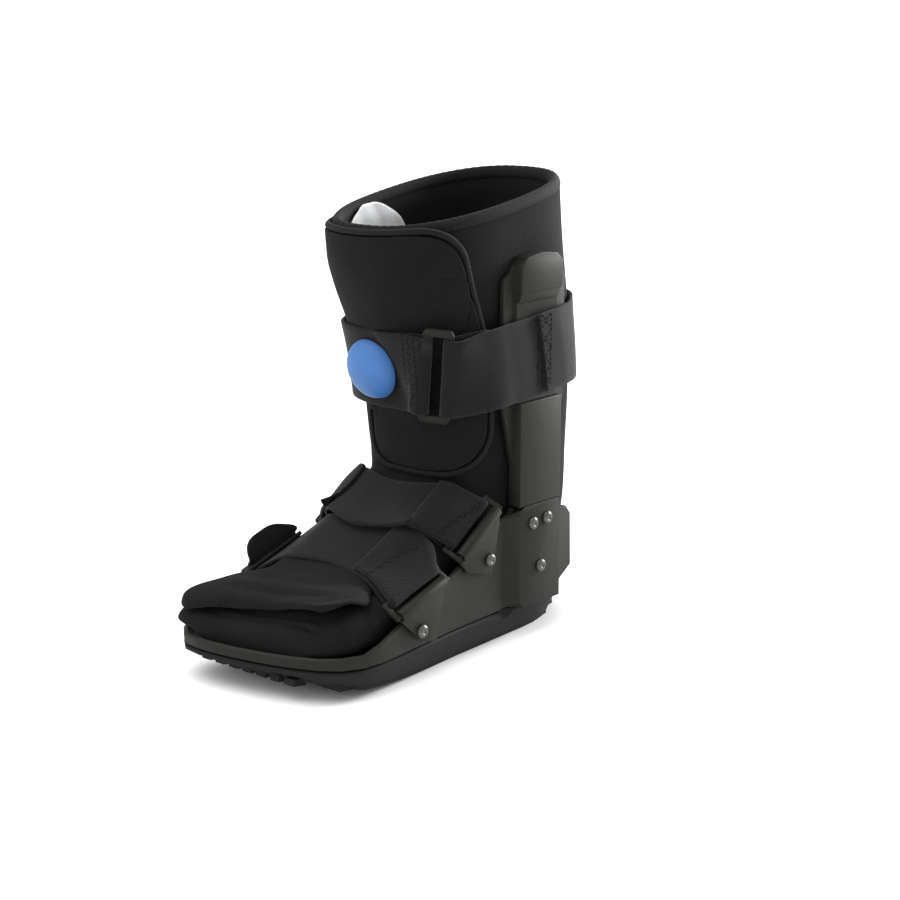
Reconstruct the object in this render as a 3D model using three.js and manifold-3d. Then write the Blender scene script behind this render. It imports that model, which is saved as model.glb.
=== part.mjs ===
import * as THREE from 'three';
import { mergeVertices } from 'three/addons/utils/BufferGeometryUtils.js';
import Module from 'manifold-3d';

const wasm = await Module();
wasm.setup();

// Short walking boot in millimetres: toes towards -Y, heel towards +Y, ground at z = 0

// Clearance between neighbouring pieces
const gap = 0.3;
const softGap = 0.7;

// Sole
const soleLength = 278.5;
const heelReach = 145;
const soleHalfWidth = 67;
const toeSkew = 13;
const soleHeight = 21.5;
const soleTaper = 6.5;
const soleRound = 1.2;
const toeSpring = 12.5;
const heelLift = 5;
const flatFront = -8;
const flatRear = 88;
const lugHeight = 2.4;
const lugLength = 11;
const lugPitch = 17;
const toeLugPitch = 12;
const toeLugWidth = 7.5;
const lugMargin = 3;
const lugRoot = 1.8;
const rimWidth = 5.5;
const rimDraft = 0.7;
const rimLift = 0.4;
const rimFront = -98;

// Tray
const trayWall = 3;
const trayFloor = 3;
const trayRound = 1.2;
const lipHeight = 29.5;

// Side ears, ribs and rear fins of the tray
const earTop = 90;
const earFace = 58;
const earWall = 3.4;
const earFront = 38;
const finRear = 115;
const finTop = 79;
const finFoot = 37;
const ribFace = 64.4;
const ribCentre = 72.6;
const ribHalfWidth = 21.4;
const ribSkin = 2.3;
const ribSlope = 12;
const ribCorner = 5;
const pocketFoot = 46;
const scoopRadius = 10;

// Struts
const strutTop = 254.3;
const strutLedge = 229.8;
const seatTop = 223;
const seatFoot = 158.8;
const seatDepth = 4.2;
const flangeWidth = 10.5;
const flangeTop = 242;
const flangeTaperTop = 157;
const flangeTaperFoot = 117;

// Rivets
const rivetRadius = 4.3;
const rivetHeight = 2.6;

// Leg tube of the liner
const ankleHeight = 112;
const collarHeight = 288;
const collarTilt = 0.155;
const legDepth = 84;
const legHalfWidth = 57;
const legCentre = 55;
const legWall = 6.5;
const bindingHeight = 9;
const bindingProud = 0.6;

// Foot of the liner
const footWall = 5;
const toeClearance = 4.5;
const footHalfWidth = 54;
const heelPower = 5;

// Toe flap
const toeFlapThickness = 5;
const toeTilt = 5;

// Shin flap
const flapThickness = 4.4;
const flapFoot = 112;
const flapTopCorner = 34;
const flapFootCorner = 36;
const flapEdgeWidth = 5;
const flapNearReach = 71;
const flapNearFoot = 63;
const flapFarReach = 74;
const flapTongueReach = 27;
const flapStep = 160;

// Straps and rings
const strapThickness = 2;
const calfStrapWidth = 52;
const calfStrapHeight = 182;
const calfStrapSlope = 0.09;
const calfStrapPivot = 9;
const footStrapWidth = 43;
const ringBar = 3.2;
const ringThickness = 2.6;
const ringWindow = 7.4;
const drapeReach = 100;
const drapeDepth = 24;
const hemRadius = 3.9;
const hemBore = 2.5;
const tabThickness = 2;
const tabGap = 0.4;

// Calf buckle and pump bulb
const buckleWidth = 20;
const buckleHeight = 63;
const buckleBar = 4;
const buckleThickness = 3;
const buckleEnd = 5;
const buckleReach = 34.5;
const strapLoop = 3.9;
const loopReturn = 24;
const shortReturn = 11;
const bulbRadius = 20.5;
const bulbHeight = 13;
const bulbReach = -9;

// Label inside the collar
const frameSpan = 12;
const frameRise = 24;
const labelReach = 95;
const labelHalfWidth = 32;
const labelFoot = collarHeight - 62;
const labelTop = collarHeight - 10;
const labelGap = 0.5;
const labelThickness = 0.8;

// Counts of facets
const planSteps = 50;
const legSteps = 36;

// Plan of the tray: share of the sole's length from the heel, share of its half width
const planTable = [
  { along: 0.0, half: 0.0 },
  { along: 0.02, half: 0.35 },
  { along: 0.065, half: 0.595 },
  { along: 0.12, half: 0.745 },
  { along: 0.185, half: 0.825 },
  { along: 0.27, half: 0.857 },
  { along: 0.39, half: 0.868 },
  { along: 0.54, half: 0.89 },
  { along: 0.67, half: 0.93 },
  { along: 0.79, half: 0.97 },
  { along: 0.885, half: 0.985 },
  { along: 0.94, half: 0.92 },
  { along: 0.975, half: 0.745 },
  { along: 0.994, half: 0.42 },
  { along: 1.0, half: 0.0 },
];

// Top edge of the tray wall: share of the sole's length from the heel, share of the rise from lip to ear
const wallTopTable = [
  { along: 0.0, rise: 0.0 },
  { along: 0.11, rise: 0.0 },
  { along: 0.16, rise: 0.5 },
  { along: 0.2, rise: 0.93 },
  { along: 0.37, rise: 0.93 },
  { along: 0.4, rise: 0.88 },
  { along: 0.545, rise: 0.52 },
  { along: 0.61, rise: 0.43 },
  { along: 0.78, rise: 0.17 },
  { along: 0.865, rise: 0.025 },
  { along: 1.0, rise: 0.0 },
];

// Leg sections: share of the height from ankle to collar, shares of the collar's depth and width,
// share of that depth by which the middle lies behind the collar's, and the roundness exponent
const legTable = [
  { up: 0.0, depth: 0.755, half: 0.925, back: 0.262, power: 3.2 },
  { up: 0.216, depth: 0.798, half: 0.935, back: 0.25, power: 3.2 },
  { up: 0.5, depth: 0.845, half: 0.942, back: 0.2, power: 3.2 },
  { up: 0.727, depth: 0.946, half: 0.945, back: 0.085, power: 2.8 },
  { up: 0.813, depth: 0.99, half: 0.955, back: 0.045, power: 2.6 },
  { up: 1.0, depth: 1.0, half: 1.0, back: 0.0, power: 2.4 },
];

// Foot sections: share of the way from instep pivot to toe, share of the foot's half width, share of
// the height from tray floor to ankle, exponents above and below, share of height where it is widest
const footTable = [
  { along: 0.0, half: 0.915, top: 1.0, power: 3.2, flat: 3.2, widest: 0.5 },
  { along: 0.1, half: 0.915, top: 0.83, power: 3.4, flat: 3.6, widest: 0.45 },
  { along: 0.2, half: 0.915, top: 0.7, power: 3.8, flat: 4.5, widest: 0.4 },
  { along: 0.305, half: 0.92, top: 0.575, power: 4.2, flat: 4.5, widest: 0.4 },
  { along: 0.41, half: 0.925, top: 0.475, power: 4.5, flat: 4.5, widest: 0.4 },
  { along: 0.5, half: 0.95, top: 0.385, power: 4.8, flat: 4.5, widest: 0.4 },
  { along: 0.62, half: 1.01, top: 0.35, power: 5.0, flat: 4.5, widest: 0.4 },
  { along: 0.75, half: 1.05, top: 0.33, power: 5.0, flat: 4.0, widest: 0.4 },
  { along: 0.88, half: 1.05, top: 0.3, power: 4.5, flat: 4.0, widest: 0.4 },
  { along: 0.95, half: 0.97, top: 0.255, power: 3.4, flat: 3.0, widest: 0.4 },
  { along: 1.0, half: 0.72, top: 0.17, power: 2.4, flat: 2.4, widest: 0.4 },
];

// Reading of a table column by straight lines between its rows
function read(table, key, at, column) {
  let i = 1;
  while (i < table.length - 1 && table[i][key] < at) i += 1;
  const a = table[i - 1];
  const b = table[i];
  const t = THREE.MathUtils.clamp((at - a[key]) / (b[key] - a[key]), 0, 1);
  return a[column] + t * (b[column] - a[column]);
}

// The same with a smooth curve through the rows
function readSmooth(table, key, at, column) {
  let i = 1;
  while (i < table.length - 1 && table[i][key] < at) i += 1;
  const row = (k) => table[THREE.MathUtils.clamp(k, 0, table.length - 1)];
  const [a, b] = [row(i - 1), row(i)];
  const span = b[key] - a[key];
  const slope = (before, after) => (after[column] - before[column]) / (after[key] - before[key]);
  const start = slope(row(i - 2), b) * span;
  const end = slope(a, row(i + 1)) * span;
  const t = THREE.MathUtils.clamp((at - a[key]) / span, 0, 1);
  const rise = b[column] - a[column];
  const bend = (1 - t) * (start - rise) - t * (end - rise);
  return a[column] + rise * t + t * (1 - t) * bend;
}

const vec = (x, y, z) => new THREE.Vector3(x, y, z);
const lerp = THREE.MathUtils.lerp;
const signedPower = (value, power) => Math.sign(value) * Math.abs(value) ** power;

// Closed body from rings of points: its ends are capped unless the rings close on themselves
function loft(rings, { closed = false, strip = false } = {}) {
  const count = rings[0].length;
  const positions = rings.flat().flatMap((p) => [p.x, p.y, p.z]);
  const faces = [];
  const last = closed ? rings.length : rings.length - 1;
  for (let r = 0; r < last; r += 1) {
    const a = r * count;
    const b = ((r + 1) % rings.length) * count;
    for (let i = 0; i < count; i += 1) {
      const j = (i + 1) % count;
      faces.push([a + i, a + j, b + j], [a + i, b + j, b + i]);
    }
  }
  const cap = (start, flip) => {
    if (strip) {
      for (let i = 0; i < count / 2 - 1; i += 1) {
        const quad = [start + i, start + i + 1, start + count - 2 - i, start + count - 1 - i];
        const tris = [[quad[0], quad[2], quad[1]], [quad[0], quad[3], quad[2]]];
        for (const t of tris) faces.push(flip ? [t[0], t[2], t[1]] : t);
      }
      return;
    }
    const middle = positions.length / 3;
    const centre = vec(0, 0, 0);
    for (let i = 0; i < count; i += 1) {
      centre.add(vec(...positions.slice((start + i) * 3, (start + i) * 3 + 3)));
    }
    centre.multiplyScalar(1 / count);
    positions.push(centre.x, centre.y, centre.z);
    for (let i = 0; i < count; i += 1) {
      const t = [middle, start + ((i + 1) % count), start + i];
      faces.push(flip ? [t[0], t[2], t[1]] : t);
    }
  };
  if (!closed) {
    cap(0, false);
    cap((rings.length - 1) * count, true);
  }
  return outwards(positions, faces);
}

// Indexed geometry whose faces all point out
function outwards(positions, faces) {
  let volume = 0;
  const at = (i) => vec(positions[3 * i], positions[3 * i + 1], positions[3 * i + 2]);
  for (const [a, b, c] of faces) volume += at(a).dot(at(b).cross(at(c)));
  const geometry = new THREE.BufferGeometry();
  geometry.setAttribute('position', new THREE.Float32BufferAttribute(positions, 3));
  geometry.setIndex(faces.flatMap(([a, b, c]) => (volume < 0 ? [a, c, b] : [a, b, c])));
  return geometry;
}

// Thin body between two grids of points: rows run along it, closed when its rows meet
function slab(outer, inner, closed = false) {
  const rings = outer.map((row, i) => [...row, ...[...inner[i]].reverse()]);
  return loft(rings, { closed, strip: true });
}

// Joining and cutting
function solid(geometry) {
  const bare = geometry.clone();
  for (const name of Object.keys(bare.attributes)) {
    if (name !== 'position') bare.deleteAttribute(name);
  }
  const merged = mergeVertices(bare, 1e-4);
  return new wasm.Manifold(new wasm.Mesh({
    numProp: 3,
    vertProperties: merged.attributes.position.array,
    triVerts: Uint32Array.from(merged.index.array),
  }));
}

function geometryOf(manifold) {
  const mesh = manifold.getMesh();
  const geometry = new THREE.BufferGeometry();
  geometry.setAttribute('position', new THREE.BufferAttribute(Float32Array.from(mesh.vertProperties), 3));
  geometry.setIndex(Array.from(mesh.triVerts));
  return geometry;
}

const join = (list) => geometryOf(list.map(solid).reduce((a, b) => a.add(b)));
const cut = (body, tools) => geometryOf(tools.map(solid).reduce((a, b) => a.subtract(b), solid(body)));

// Mirror image on the other side of the boot
function mirror(geometry) {
  const copy = geometry.clone();
  copy.scale(-1, 1, 1);
  const index = copy.index ? Array.from(copy.index.array) : [...Array(copy.attributes.position.count).keys()];
  for (let i = 0; i < index.length; i += 3) [index[i + 1], index[i + 2]] = [index[i + 2], index[i + 1]];
  copy.setIndex(index);
  return copy;
}

// Plate parallel to the side plane: outline of [y, z] corners between two x values
function sidePlate(outline, x0, x1) {
  const shape = new THREE.Shape(outline.map(([y, z]) => new THREE.Vector2(y, z)));
  const geometry = new THREE.ExtrudeGeometry(shape, { depth: x1 - x0, bevelEnabled: false });
  const basis = new THREE.Matrix4().makeBasis(vec(0, 1, 0), vec(0, 0, 1), vec(1, 0, 0));
  geometry.applyMatrix4(basis);
  geometry.translate(x0, 0, 0);
  return geometry;
}

function block(x0, x1, y0, y1, z0, z1) {
  const geometry = new THREE.BoxGeometry(x1 - x0, y1 - y0, z1 - z0);
  geometry.translate((x0 + x1) / 2, (y0 + y1) / 2, (z0 + z1) / 2);
  return geometry;
}

// Plan outline of the tray, evenly spaced, with outward normals
function planOutline() {
  const corner = (row, side) => {
    const x = side * row.half * soleHalfWidth;
    const lead = THREE.MathUtils.smoothstep(row.along, 0.45, 0.95);
    return vec(x, heelReach - row.along * soleLength + toeSkew * lead * (x / soleHalfWidth), 0);
  };
  const near = planTable.map((row) => corner(row, 1));
  const far = planTable.slice(1, -1).reverse().map((row) => corner(row, -1));
  const curve = new THREE.CatmullRomCurve3([...near, ...far], true, 'centripetal');
  const points = curve.getSpacedPoints(planSteps).slice(0, planSteps);
  return points.map((p, i) => {
    const ahead = points[(i + 1) % planSteps];
    const behind = points[(i + planSteps - 1) % planSteps];
    const run = ahead.clone().sub(behind).normalize();
    return { point: p, normal: vec(-run.y, run.x, 0) };
  });
}

const plan = planOutline();
const planRing = (inset, height) => plan.map(({ point, normal }) => {
  const p = point.clone().addScaledVector(normal, -inset);
  return vec(p.x, p.y, height(point.y));
});

// Reach of the tray's wall from the middle plane at a given y, on the near side or the far one
function wallAt(y, side = 1) {
  const line = plan.filter(({ point }) => side * point.x > 0).map(({ point }) => point);
  line.sort((a, b) => b.y - a.y);
  const i = Math.max(line.findIndex((p) => p.y <= y), 1);
  const t = THREE.MathUtils.clamp((line[i - 1].y - y) / (line[i - 1].y - line[i].y), 0, 1);
  return Math.abs(lerp(line[i - 1].x, line[i].x, t));
}

// Underside of the sole: flat in the middle, rising to toe and heel
const toeEnd = heelReach - soleLength;
function soleUnder(y) {
  if (y < flatFront) return toeSpring * ((flatFront - y) / (flatFront - toeEnd)) ** 2;
  if (y > flatRear) return heelLift * ((y - flatRear) / (heelReach - flatRear)) ** 2;
  return 0;
}

function makeOutsole() {
  const under = (y) => soleUnder(y) + lugHeight;
  const shrink = (share) => plan.map(({ point, normal }) => {
    const p = point.clone().addScaledVector(normal, -soleTaper - 2 * soleRound);
    p.multiplyScalar(share);
    return vec(p.x, p.y, under(p.y));
  });
  const rings = [
    shrink(0.55),
    shrink(1),
    planRing(soleTaper, (y) => under(y) + soleRound),
    planRing(0.6, () => soleHeight - 2.5 * soleRound),
    planRing(0, () => soleHeight - soleRound),
    planRing(soleRound, () => soleHeight),
  ];
  const parts = [loft(rings)];
  const first = Math.ceil((toeEnd + soleTaper + lugMargin) / lugPitch);
  const last = Math.floor((heelReach - soleTaper - lugMargin) / lugPitch);
  for (let row = first; row <= last; row += 1) {
    const y = row * lugPitch;
    const edge = soleTaper + lugMargin;
    const from = edge - wallAt(y, -1);
    const to = wallAt(y, 1) - edge;
    const count = row === first ? Math.floor((to - from) / toeLugPitch) : 1;
    const width = row === first ? toeLugWidth : to - from;
    for (let i = 0; i < count; i += 1) {
      const lug = new THREE.BoxGeometry(width, lugLength, lugHeight + lugRoot);
      lug.translate(0, 0, (lugHeight + lugRoot) / 2);
      lug.rotateX(Math.atan((soleUnder(y + 1) - soleUnder(y - 1)) / 2));
      lug.translate((from + to) / 2 + (i - (count - 1) / 2) * toeLugPitch, y, soleUnder(y));
      parts.push(lug);
    }
  }
  return cut(join([...parts, treadRim()]), scoops());
}

// Rim round the tread along both sides and the heel; the toe is left open
function treadRim() {
  const edges = [
    planRing(soleTaper + 2 * rimDraft, (y) => soleUnder(y) + rimLift),
    planRing(soleTaper + rimDraft, (y) => soleUnder(y) + lugHeight + 2 * soleRound),
    planRing(soleTaper + rimWidth, (y) => soleUnder(y) + lugHeight + lugRoot),
    planRing(soleTaper + rimWidth, (y) => soleUnder(y) + rimLift),
  ];
  const rim = loft(plan.map((_, i) => edges.map((ring) => ring[i])), { closed: true, strip: true });
  const reach = 2 * soleHalfWidth;
  return cut(rim, [block(-reach, reach, toeEnd - soleTaper, rimFront, -lugHeight, soleHeight + toeSpring)]);
}

// Round pockets in front of the ribs' feet
function scoops() {
  const ball = new THREE.SphereGeometry(scoopRadius, 12, 8);
  ball.translate(ribFace, ribCentre - ribHalfWidth - ribSlope / 2, soleHeight - scoopRadius / 4);
  return [ball, mirror(ball)];
}

const floorTop = soleHeight + gap + trayFloor;
const wallTop = (y) => {
  const along = (heelReach - y) / soleLength;
  return lipHeight + (earTop - lipHeight) * read(wallTopTable, 'along', along, 'rise');
};

function makeBaseShell() {
  const base = soleHeight + gap;
  const tray = loft([
    planRing(trayWall, () => base),
    planRing(0, () => base + trayRound),
    planRing(0, (y) => lerp(base, wallTop(y), 0.5)),
    planRing(0, (y) => wallTop(y) - trayRound),
    planRing(trayRound, wallTop),
    planRing(trayWall - 1, wallTop),
    planRing(trayWall, (y) => wallTop(y) - 1),
    planRing(trayWall, () => floorTop + trayWall),
    planRing(2 * trayWall, () => floorTop),
  ]);
  const ribFront = ribCentre - ribHalfWidth;
  const ribRear = ribCentre + ribHalfWidth;
  const ear = sidePlate([
    [earFront, base + 2],
    [ribRear, base + 2],
    [finRear - 13, base + 7],
    [finRear, finFoot],
    [finRear - 1, finTop - 6],
    [finRear - 6, finTop],
    [ribRear + 3, finTop + 1],
    [ribRear, earTop - 1],
    [ribFront, earTop - 1],
    [ribFront - 3, earTop - 6],
    [earFront, wallTop(earFront) - 1],
  ], earFace - earWall, earFace);
  const side = (front, rear, top) => [
    [front, base], [rear, base], [rear, top - ribCorner], [rear - 1.5, top - 1.5], [rear - ribCorner, top],
    [front + ribCorner, top], [front + 1.5, top - 1.5], [front, top - ribCorner],
  ];
  const face = side(ribFront, ribRear, earTop).map(([y, z]) => vec(ribFace, y, z));
  const back = side(ribFront, ribRear, earTop).map(([y, z]) => {
    const low = Math.min(z, wallTop(earFront));
    return y < ribCentre ? vec(earFace - 1, y - ribSlope, low) : vec(earFace - 1, y + 1, z);
  });
  const rib = loft([back, face]);
  const pocket = block(
    earFace + gap, ribFace - ribSkin,
    ribFront + ribSkin, ribRear - ribSkin,
    pocketFoot, earTop + ribCorner,
  );
  const whole = join([tray, ear, rib, mirror(ear), mirror(rib)]);
  return cut(whole, [pocket, mirror(pocket), ...scoops()]);
}

// Strut on the near side
function makeStrut() {
  const front = ribCentre - ribHalfWidth;
  const rear = ribCentre + ribHalfWidth;
  const foot = earTop + gap;
  const wide = flangeWidth;
  const plate = sidePlate([
    [front, foot], [rear, foot], [rear, flangeTaperFoot], [rear + wide, flangeTaperTop],
    [rear + wide, flangeTop - 6], [rear + wide - 2, flangeTop - 2], [rear + wide - 6, flangeTop],
    [rear, strutTop - 7], [rear - 6, strutTop - 2], [ribCentre, strutTop], [front + 6, strutTop - 2],
    [front, strutTop - 7], [front - wide + 6, flangeTop], [front - wide + 2, flangeTop - 2],
    [front - wide, flangeTop - 6], [front - wide, flangeTaperTop], [front, flangeTaperFoot],
  ], earFace - earWall, earFace);
  const root = earFace - 1;
  const rib = sidePlate([[front, foot], [rear, foot], [rear, seatFoot], [front, seatFoot]], root, ribFace);
  const seat = block(root, ribFace - seatDepth, front, rear, seatFoot - 1, seatTop + 1);
  const cap = sidePlate([
    [front, strutLedge], [rear, strutLedge], [rear, strutTop - 7], [rear - 6, strutTop - 2],
    [ribCentre, strutTop], [front + 6, strutTop - 2], [front, strutTop - 7],
  ], root, ribFace);
  const ledge = (y) => [
    vec(root, y, seatTop), vec(ribFace - seatDepth + 1, y, seatTop),
    vec(ribFace - 1, y, strutLedge - 1), vec(ribFace - 1, y, strutLedge + 1), vec(root, y, strutLedge + 1),
  ];
  const lip = loft([ledge(front + 1), ledge(rear - 1)]);
  const tongue = block(
    earFace + 2 * gap, ribFace - ribSkin - gap,
    front + ribSkin + gap, rear - ribSkin - gap,
    pocketFoot + gap, foot + 2,
  );
  return join([plate, rib, seat, cap, lip, tongue]);
}

// Leg section at a height along the leg
function legSection(h) {
  const up = THREE.MathUtils.clamp((h - ankleHeight) / (collarHeight - ankleHeight), 0, 1);
  const value = (column) => readSmooth(legTable, 'up', up, column);
  return {
    depth: value('depth') * legDepth,
    half: value('half') * legHalfWidth,
    centre: legCentre + value('back') * legDepth,
    power: value('power'),
    tilt: collarTilt * up,
  };
}

// Point of a leg section at an angle from the front, moved out by an offset along its normal
function sectionPoint(section, angle, offset) {
  const sin = Math.sin(angle);
  const cos = Math.cos(angle);
  const p = 2 / section.power;
  const x = section.half * signedPower(sin, p);
  const y = -section.depth * signedPower(cos, p);
  const nx = signedPower(Math.abs(x) / section.half, section.power - 1) / section.half * Math.sign(x);
  const ny = signedPower(Math.abs(y) / section.depth, section.power - 1) / section.depth * Math.sign(y);
  const size = Math.hypot(nx, ny) || 1;
  return vec(x + offset * nx / size, section.centre + y + offset * ny / size, 0);
}

// Leg point at an angle, with its height tilted as the collar is
function legPoint(h, angle, offset) {
  const section = legSection(h);
  const p = sectionPoint(section, angle, offset);
  return vec(p.x, p.y, h + section.tilt * (p.y - legCentre));
}

// Angle whose point lies a given run along the section from the front
function angleAt(h, run) {
  const section = legSection(h);
  const step = Math.PI / 180;
  let angle = 0;
  let done = 0;
  let here = sectionPoint(section, 0, 0);
  while (done < Math.abs(run)) {
    const next = sectionPoint(section, angle + step, 0);
    const piece = next.distanceTo(here);
    if (done + piece >= Math.abs(run)) {
      angle += step * (Math.abs(run) - done) / piece;
      break;
    }
    done += piece;
    angle += step;
    here = next;
  }
  return Math.sign(run) * angle;
}

const surfacePoint = (h, run, offset) => legPoint(h, angleAt(h, run), offset);

const footFloor = floorTop + gap;
const pivotY = legPoint(ankleHeight, 0, 0).y;
const toeReach = toeEnd + trayWall + toeClearance;

// Foot point in an upright plane: round above, flatter below, moved in by an inset
function footPoint(y, angle, inset) {
  const along = THREE.MathUtils.clamp((pivotY - y) / (pivotY - toeReach), 0, 1);
  const value = (column) => readSmooth(footTable, 'along', along, column);
  const half = value('half') * footHalfWidth - inset;
  const low = footFloor + inset;
  const high = footFloor + value('top') * (ankleHeight - footFloor) - inset;
  const up = Math.cos(angle);
  const power = 2 / (up > 0 ? value('power') : value('flat'));
  const x = half * signedPower(Math.sin(angle), power);
  const share = value('widest');
  const rise = up > 0 ? share + (1 - share) * signedPower(up, power) : share * (1 + signedPower(up, power));
  const lead = toeSkew * THREE.MathUtils.smoothstep(along, 0.2, 0.95);
  const tilt = toeTilt * THREE.MathUtils.smoothstep(along, 0.5, 0.9) * rise;
  return vec(x, y + lead * (x / soleHalfWidth), lerp(low, high, rise) + tilt * (x / soleHalfWidth));
}

// Heel point in a plane swung about the instep: swing 0 points down, a quarter turn points back
function heelPoint(swing, angle, inset) {
  const down = ankleHeight - footFloor;
  const back = 2 * legSection(ankleHeight).depth;
  const reach = ((Math.sin(swing) / back) ** heelPower + (Math.cos(swing) / down) ** heelPower) ** (-1 / heelPower);
  const turned = Math.sin(swing) ** 2;
  const half = lerp(footTable[0].half * footHalfWidth, legSection(ankleHeight).half, turned) - inset;
  const up = Math.cos(angle);
  const foot = 2 / (up > 0 ? footTable[0].power : footTable[0].flat);
  const power = lerp(foot, 2 / legSection(ankleHeight).power, turned);
  const x = half * signedPower(Math.sin(angle), power);
  const r = lerp(inset, reach - inset, 0.5 - 0.5 * signedPower(up, power));
  return vec(x, pivotY + r * Math.sin(swing), ankleHeight - r * Math.cos(swing));
}

const turns = (count) => Array.from({ length: count }, (_, i) => (i / count) * 2 * Math.PI);
const steps = (from, to, count) => Array.from({ length: count }, (_, i) => lerp(from, to, i / (count - 1)));

function linerRings(inset, legInset, toe, heelSteps, legRows) {
  const rim = collarHeight - bindingHeight;
  const angles = turns(legSteps);
  const foot = toe.map((share) => angles.map((a) => footPoint(lerp(pivotY, toeReach, share), a, inset)));
  const swings = steps(0, Math.PI / 2, heelSteps).slice(1, -1);
  const heel = swings.map((swing) => angles.map((a) => heelPoint(swing, a, inset)));
  const leg = steps(ankleHeight, rim, legRows).map((h) => angles.map((a) => legPoint(h, a, -legInset)));
  return [...foot, ...heel, ...leg];
}

function makeLiner() {
  const outer = linerRings(0, 0, [1, 0.98, 0.95, 0.88, 0.76, 0.62, 0.5, 0.4, 0.3, 0.2, 0.1, 0], 7, 9);
  const inner = linerRings(footWall, legWall, [0.93, 0.84, 0.62, 0.4, 0.2, 0], 5, 6);
  return loft([...outer, ...inner.reverse()]);
}

// Rolled edge on the rim: share of wall inwards, share of height up
function makeCollarBinding() {
  const low = collarHeight - bindingHeight + gap;
  const profile = [[0, 0], [0, 0.6], [0.3, 1], [0.7, 1], [1, 0.6], [1, 0]];
  const wide = legWall + 2 * bindingProud;
  const rings = turns(legSteps).map((angle) => profile.map(([across, up]) => (
    legPoint(lerp(low, collarHeight, up), angle, bindingProud - across * wide)
  )));
  return loft(rings, { closed: true });
}

// Shin flap: near and far edge at a height, moved in by an inset
const cornerDrop = (beyond, radius) => {
  const t = THREE.MathUtils.clamp(beyond, 0, radius);
  return radius - Math.sqrt(Math.max(radius ** 2 - t ** 2, 0));
};

function flapEdges(h, inset) {
  const up = (h - flapFoot) / (collarHeight - flapFoot);
  const top = collarHeight - inset;
  const foot = flapFoot + inset;
  const high = cornerDrop(h - (top - flapTopCorner + inset), flapTopCorner - inset);
  const low = (radius) => cornerDrop(foot + radius - inset - h, radius - inset);
  const near = lerp(flapNearFoot, flapNearReach, up) - inset - high - low(flapFootCorner);
  const far = h > flapStep ? flapFarReach : flapTongueReach - inset - low(flapTongueReach - 8);
  return { near, far: -far };
}

const flapLift = (h) => softGap + THREE.MathUtils.smoothstep(h, collarHeight - 45, collarHeight - 20) * (bindingProud + 2 * gap);

function makeShinFlap() {
  const inset = flapEdgeWidth + gap;
  const levels = [0, 0.012, 0.045, 0.1, 0.17, 0.27, 0.38, 0.52, 0.66, 0.78, 0.87, 0.94, 0.98, 1];
  const rows = levels.map((share) => {
    const h = lerp(flapFoot + inset, collarHeight - inset, share);
    return steps(-flapFarReach, flapEdges(h, inset).near, 16).map((run) => ({ h, run, thick: flapBody(run) }));
  });
  const layer = (top) => rows.map((row) => row.map(({ h, run, thick }) => (
    surfacePoint(h, run, flapLift(h) + (top ? thick : 0))
  )));
  const edge = flapTongueReach - inset;
  const corner = steps(0, Math.PI / 2, 5).map((angle) => [
    -edge + (edge - 6) * (1 - Math.cos(angle)),
    flapFoot + inset + (edge - 6) * (1 - Math.sin(angle)),
  ]);
  const side = new THREE.Shape([
    [-2 * legHalfWidth, 0], [-2 * legHalfWidth, flapStep], [-edge - 6, flapStep], [-edge, flapStep - 6],
    ...corner, [-6, 0],
  ].map(toVector2));
  const tool = new THREE.ExtrudeGeometry(side, { depth: 2 * legDepth, bevelEnabled: false });
  tool.rotateX(Math.PI / 2);
  tool.translate(0, legCentre, 0);
  return cut(slab(layer(true), layer(false)), [tool]);
}

// Thickness of the flap: thin where it joins the liner on the far side
const flapBody = (run) => {
  const thin = THREE.MathUtils.smoothstep(run, -flapFarReach, -flapFarReach + 40);
  return lerp(0.8, flapThickness, thin);
};

// Outline of the flap from the far top corner round to the tongue's far side, as run and height
function flapOutline() {
  const line = [];
  for (const share of steps(0, 1, 10)) {
    line.push([lerp(-flapFarReach, flapNearReach - flapTopCorner, share), collarHeight]);
  }
  const side = [0.004, 0.02, 0.045, 0.08, 0.12, 0.15, 0.25, 0.38, 0.5, 0.62, 0.72, 0.79, 0.84, 0.89, 0.93, 0.96, 0.985, 0.998];
  for (const share of side) {
    const h = lerp(collarHeight, flapFoot, share);
    line.push([flapEdges(h, 0).near, h]);
  }
  const bottom = flapEdges(flapFoot, 0);
  for (const share of steps(0, 1, 4)) line.push([lerp(bottom.near, bottom.far, share), flapFoot]);
  for (const share of [0.01, 0.05, 0.12, 0.22, 0.35, 0.6, 0.83]) {
    const h = lerp(flapFoot, flapStep, share);
    line.push([flapEdges(h, 0).far, h]);
  }
  return line.map(([run, h]) => new THREE.Vector2(run, h));
}

function makeFlapBinding() {
  const line = flapOutline();
  const profile = [[0.12, 0.15], [0.12, 0.85], [0.5, 1.08], [1, 1.02], [1, 0]];
  const rings = line.map((p, i) => {
    const ahead = line[Math.min(i + 1, line.length - 1)];
    const behind = line[Math.max(i - 1, 0)];
    const run = ahead.clone().sub(behind).normalize();
    const thick = flapBody(p.x);
    return profile.map(([across, up]) => {
      const inset = across * (flapEdgeWidth - gap);
      const x = p.x + run.y * inset;
      const h = p.y - run.x * inset;
      return surfacePoint(h, x, flapLift(h) + up * thick);
    });
  });
  return loft(rings);
}

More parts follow.
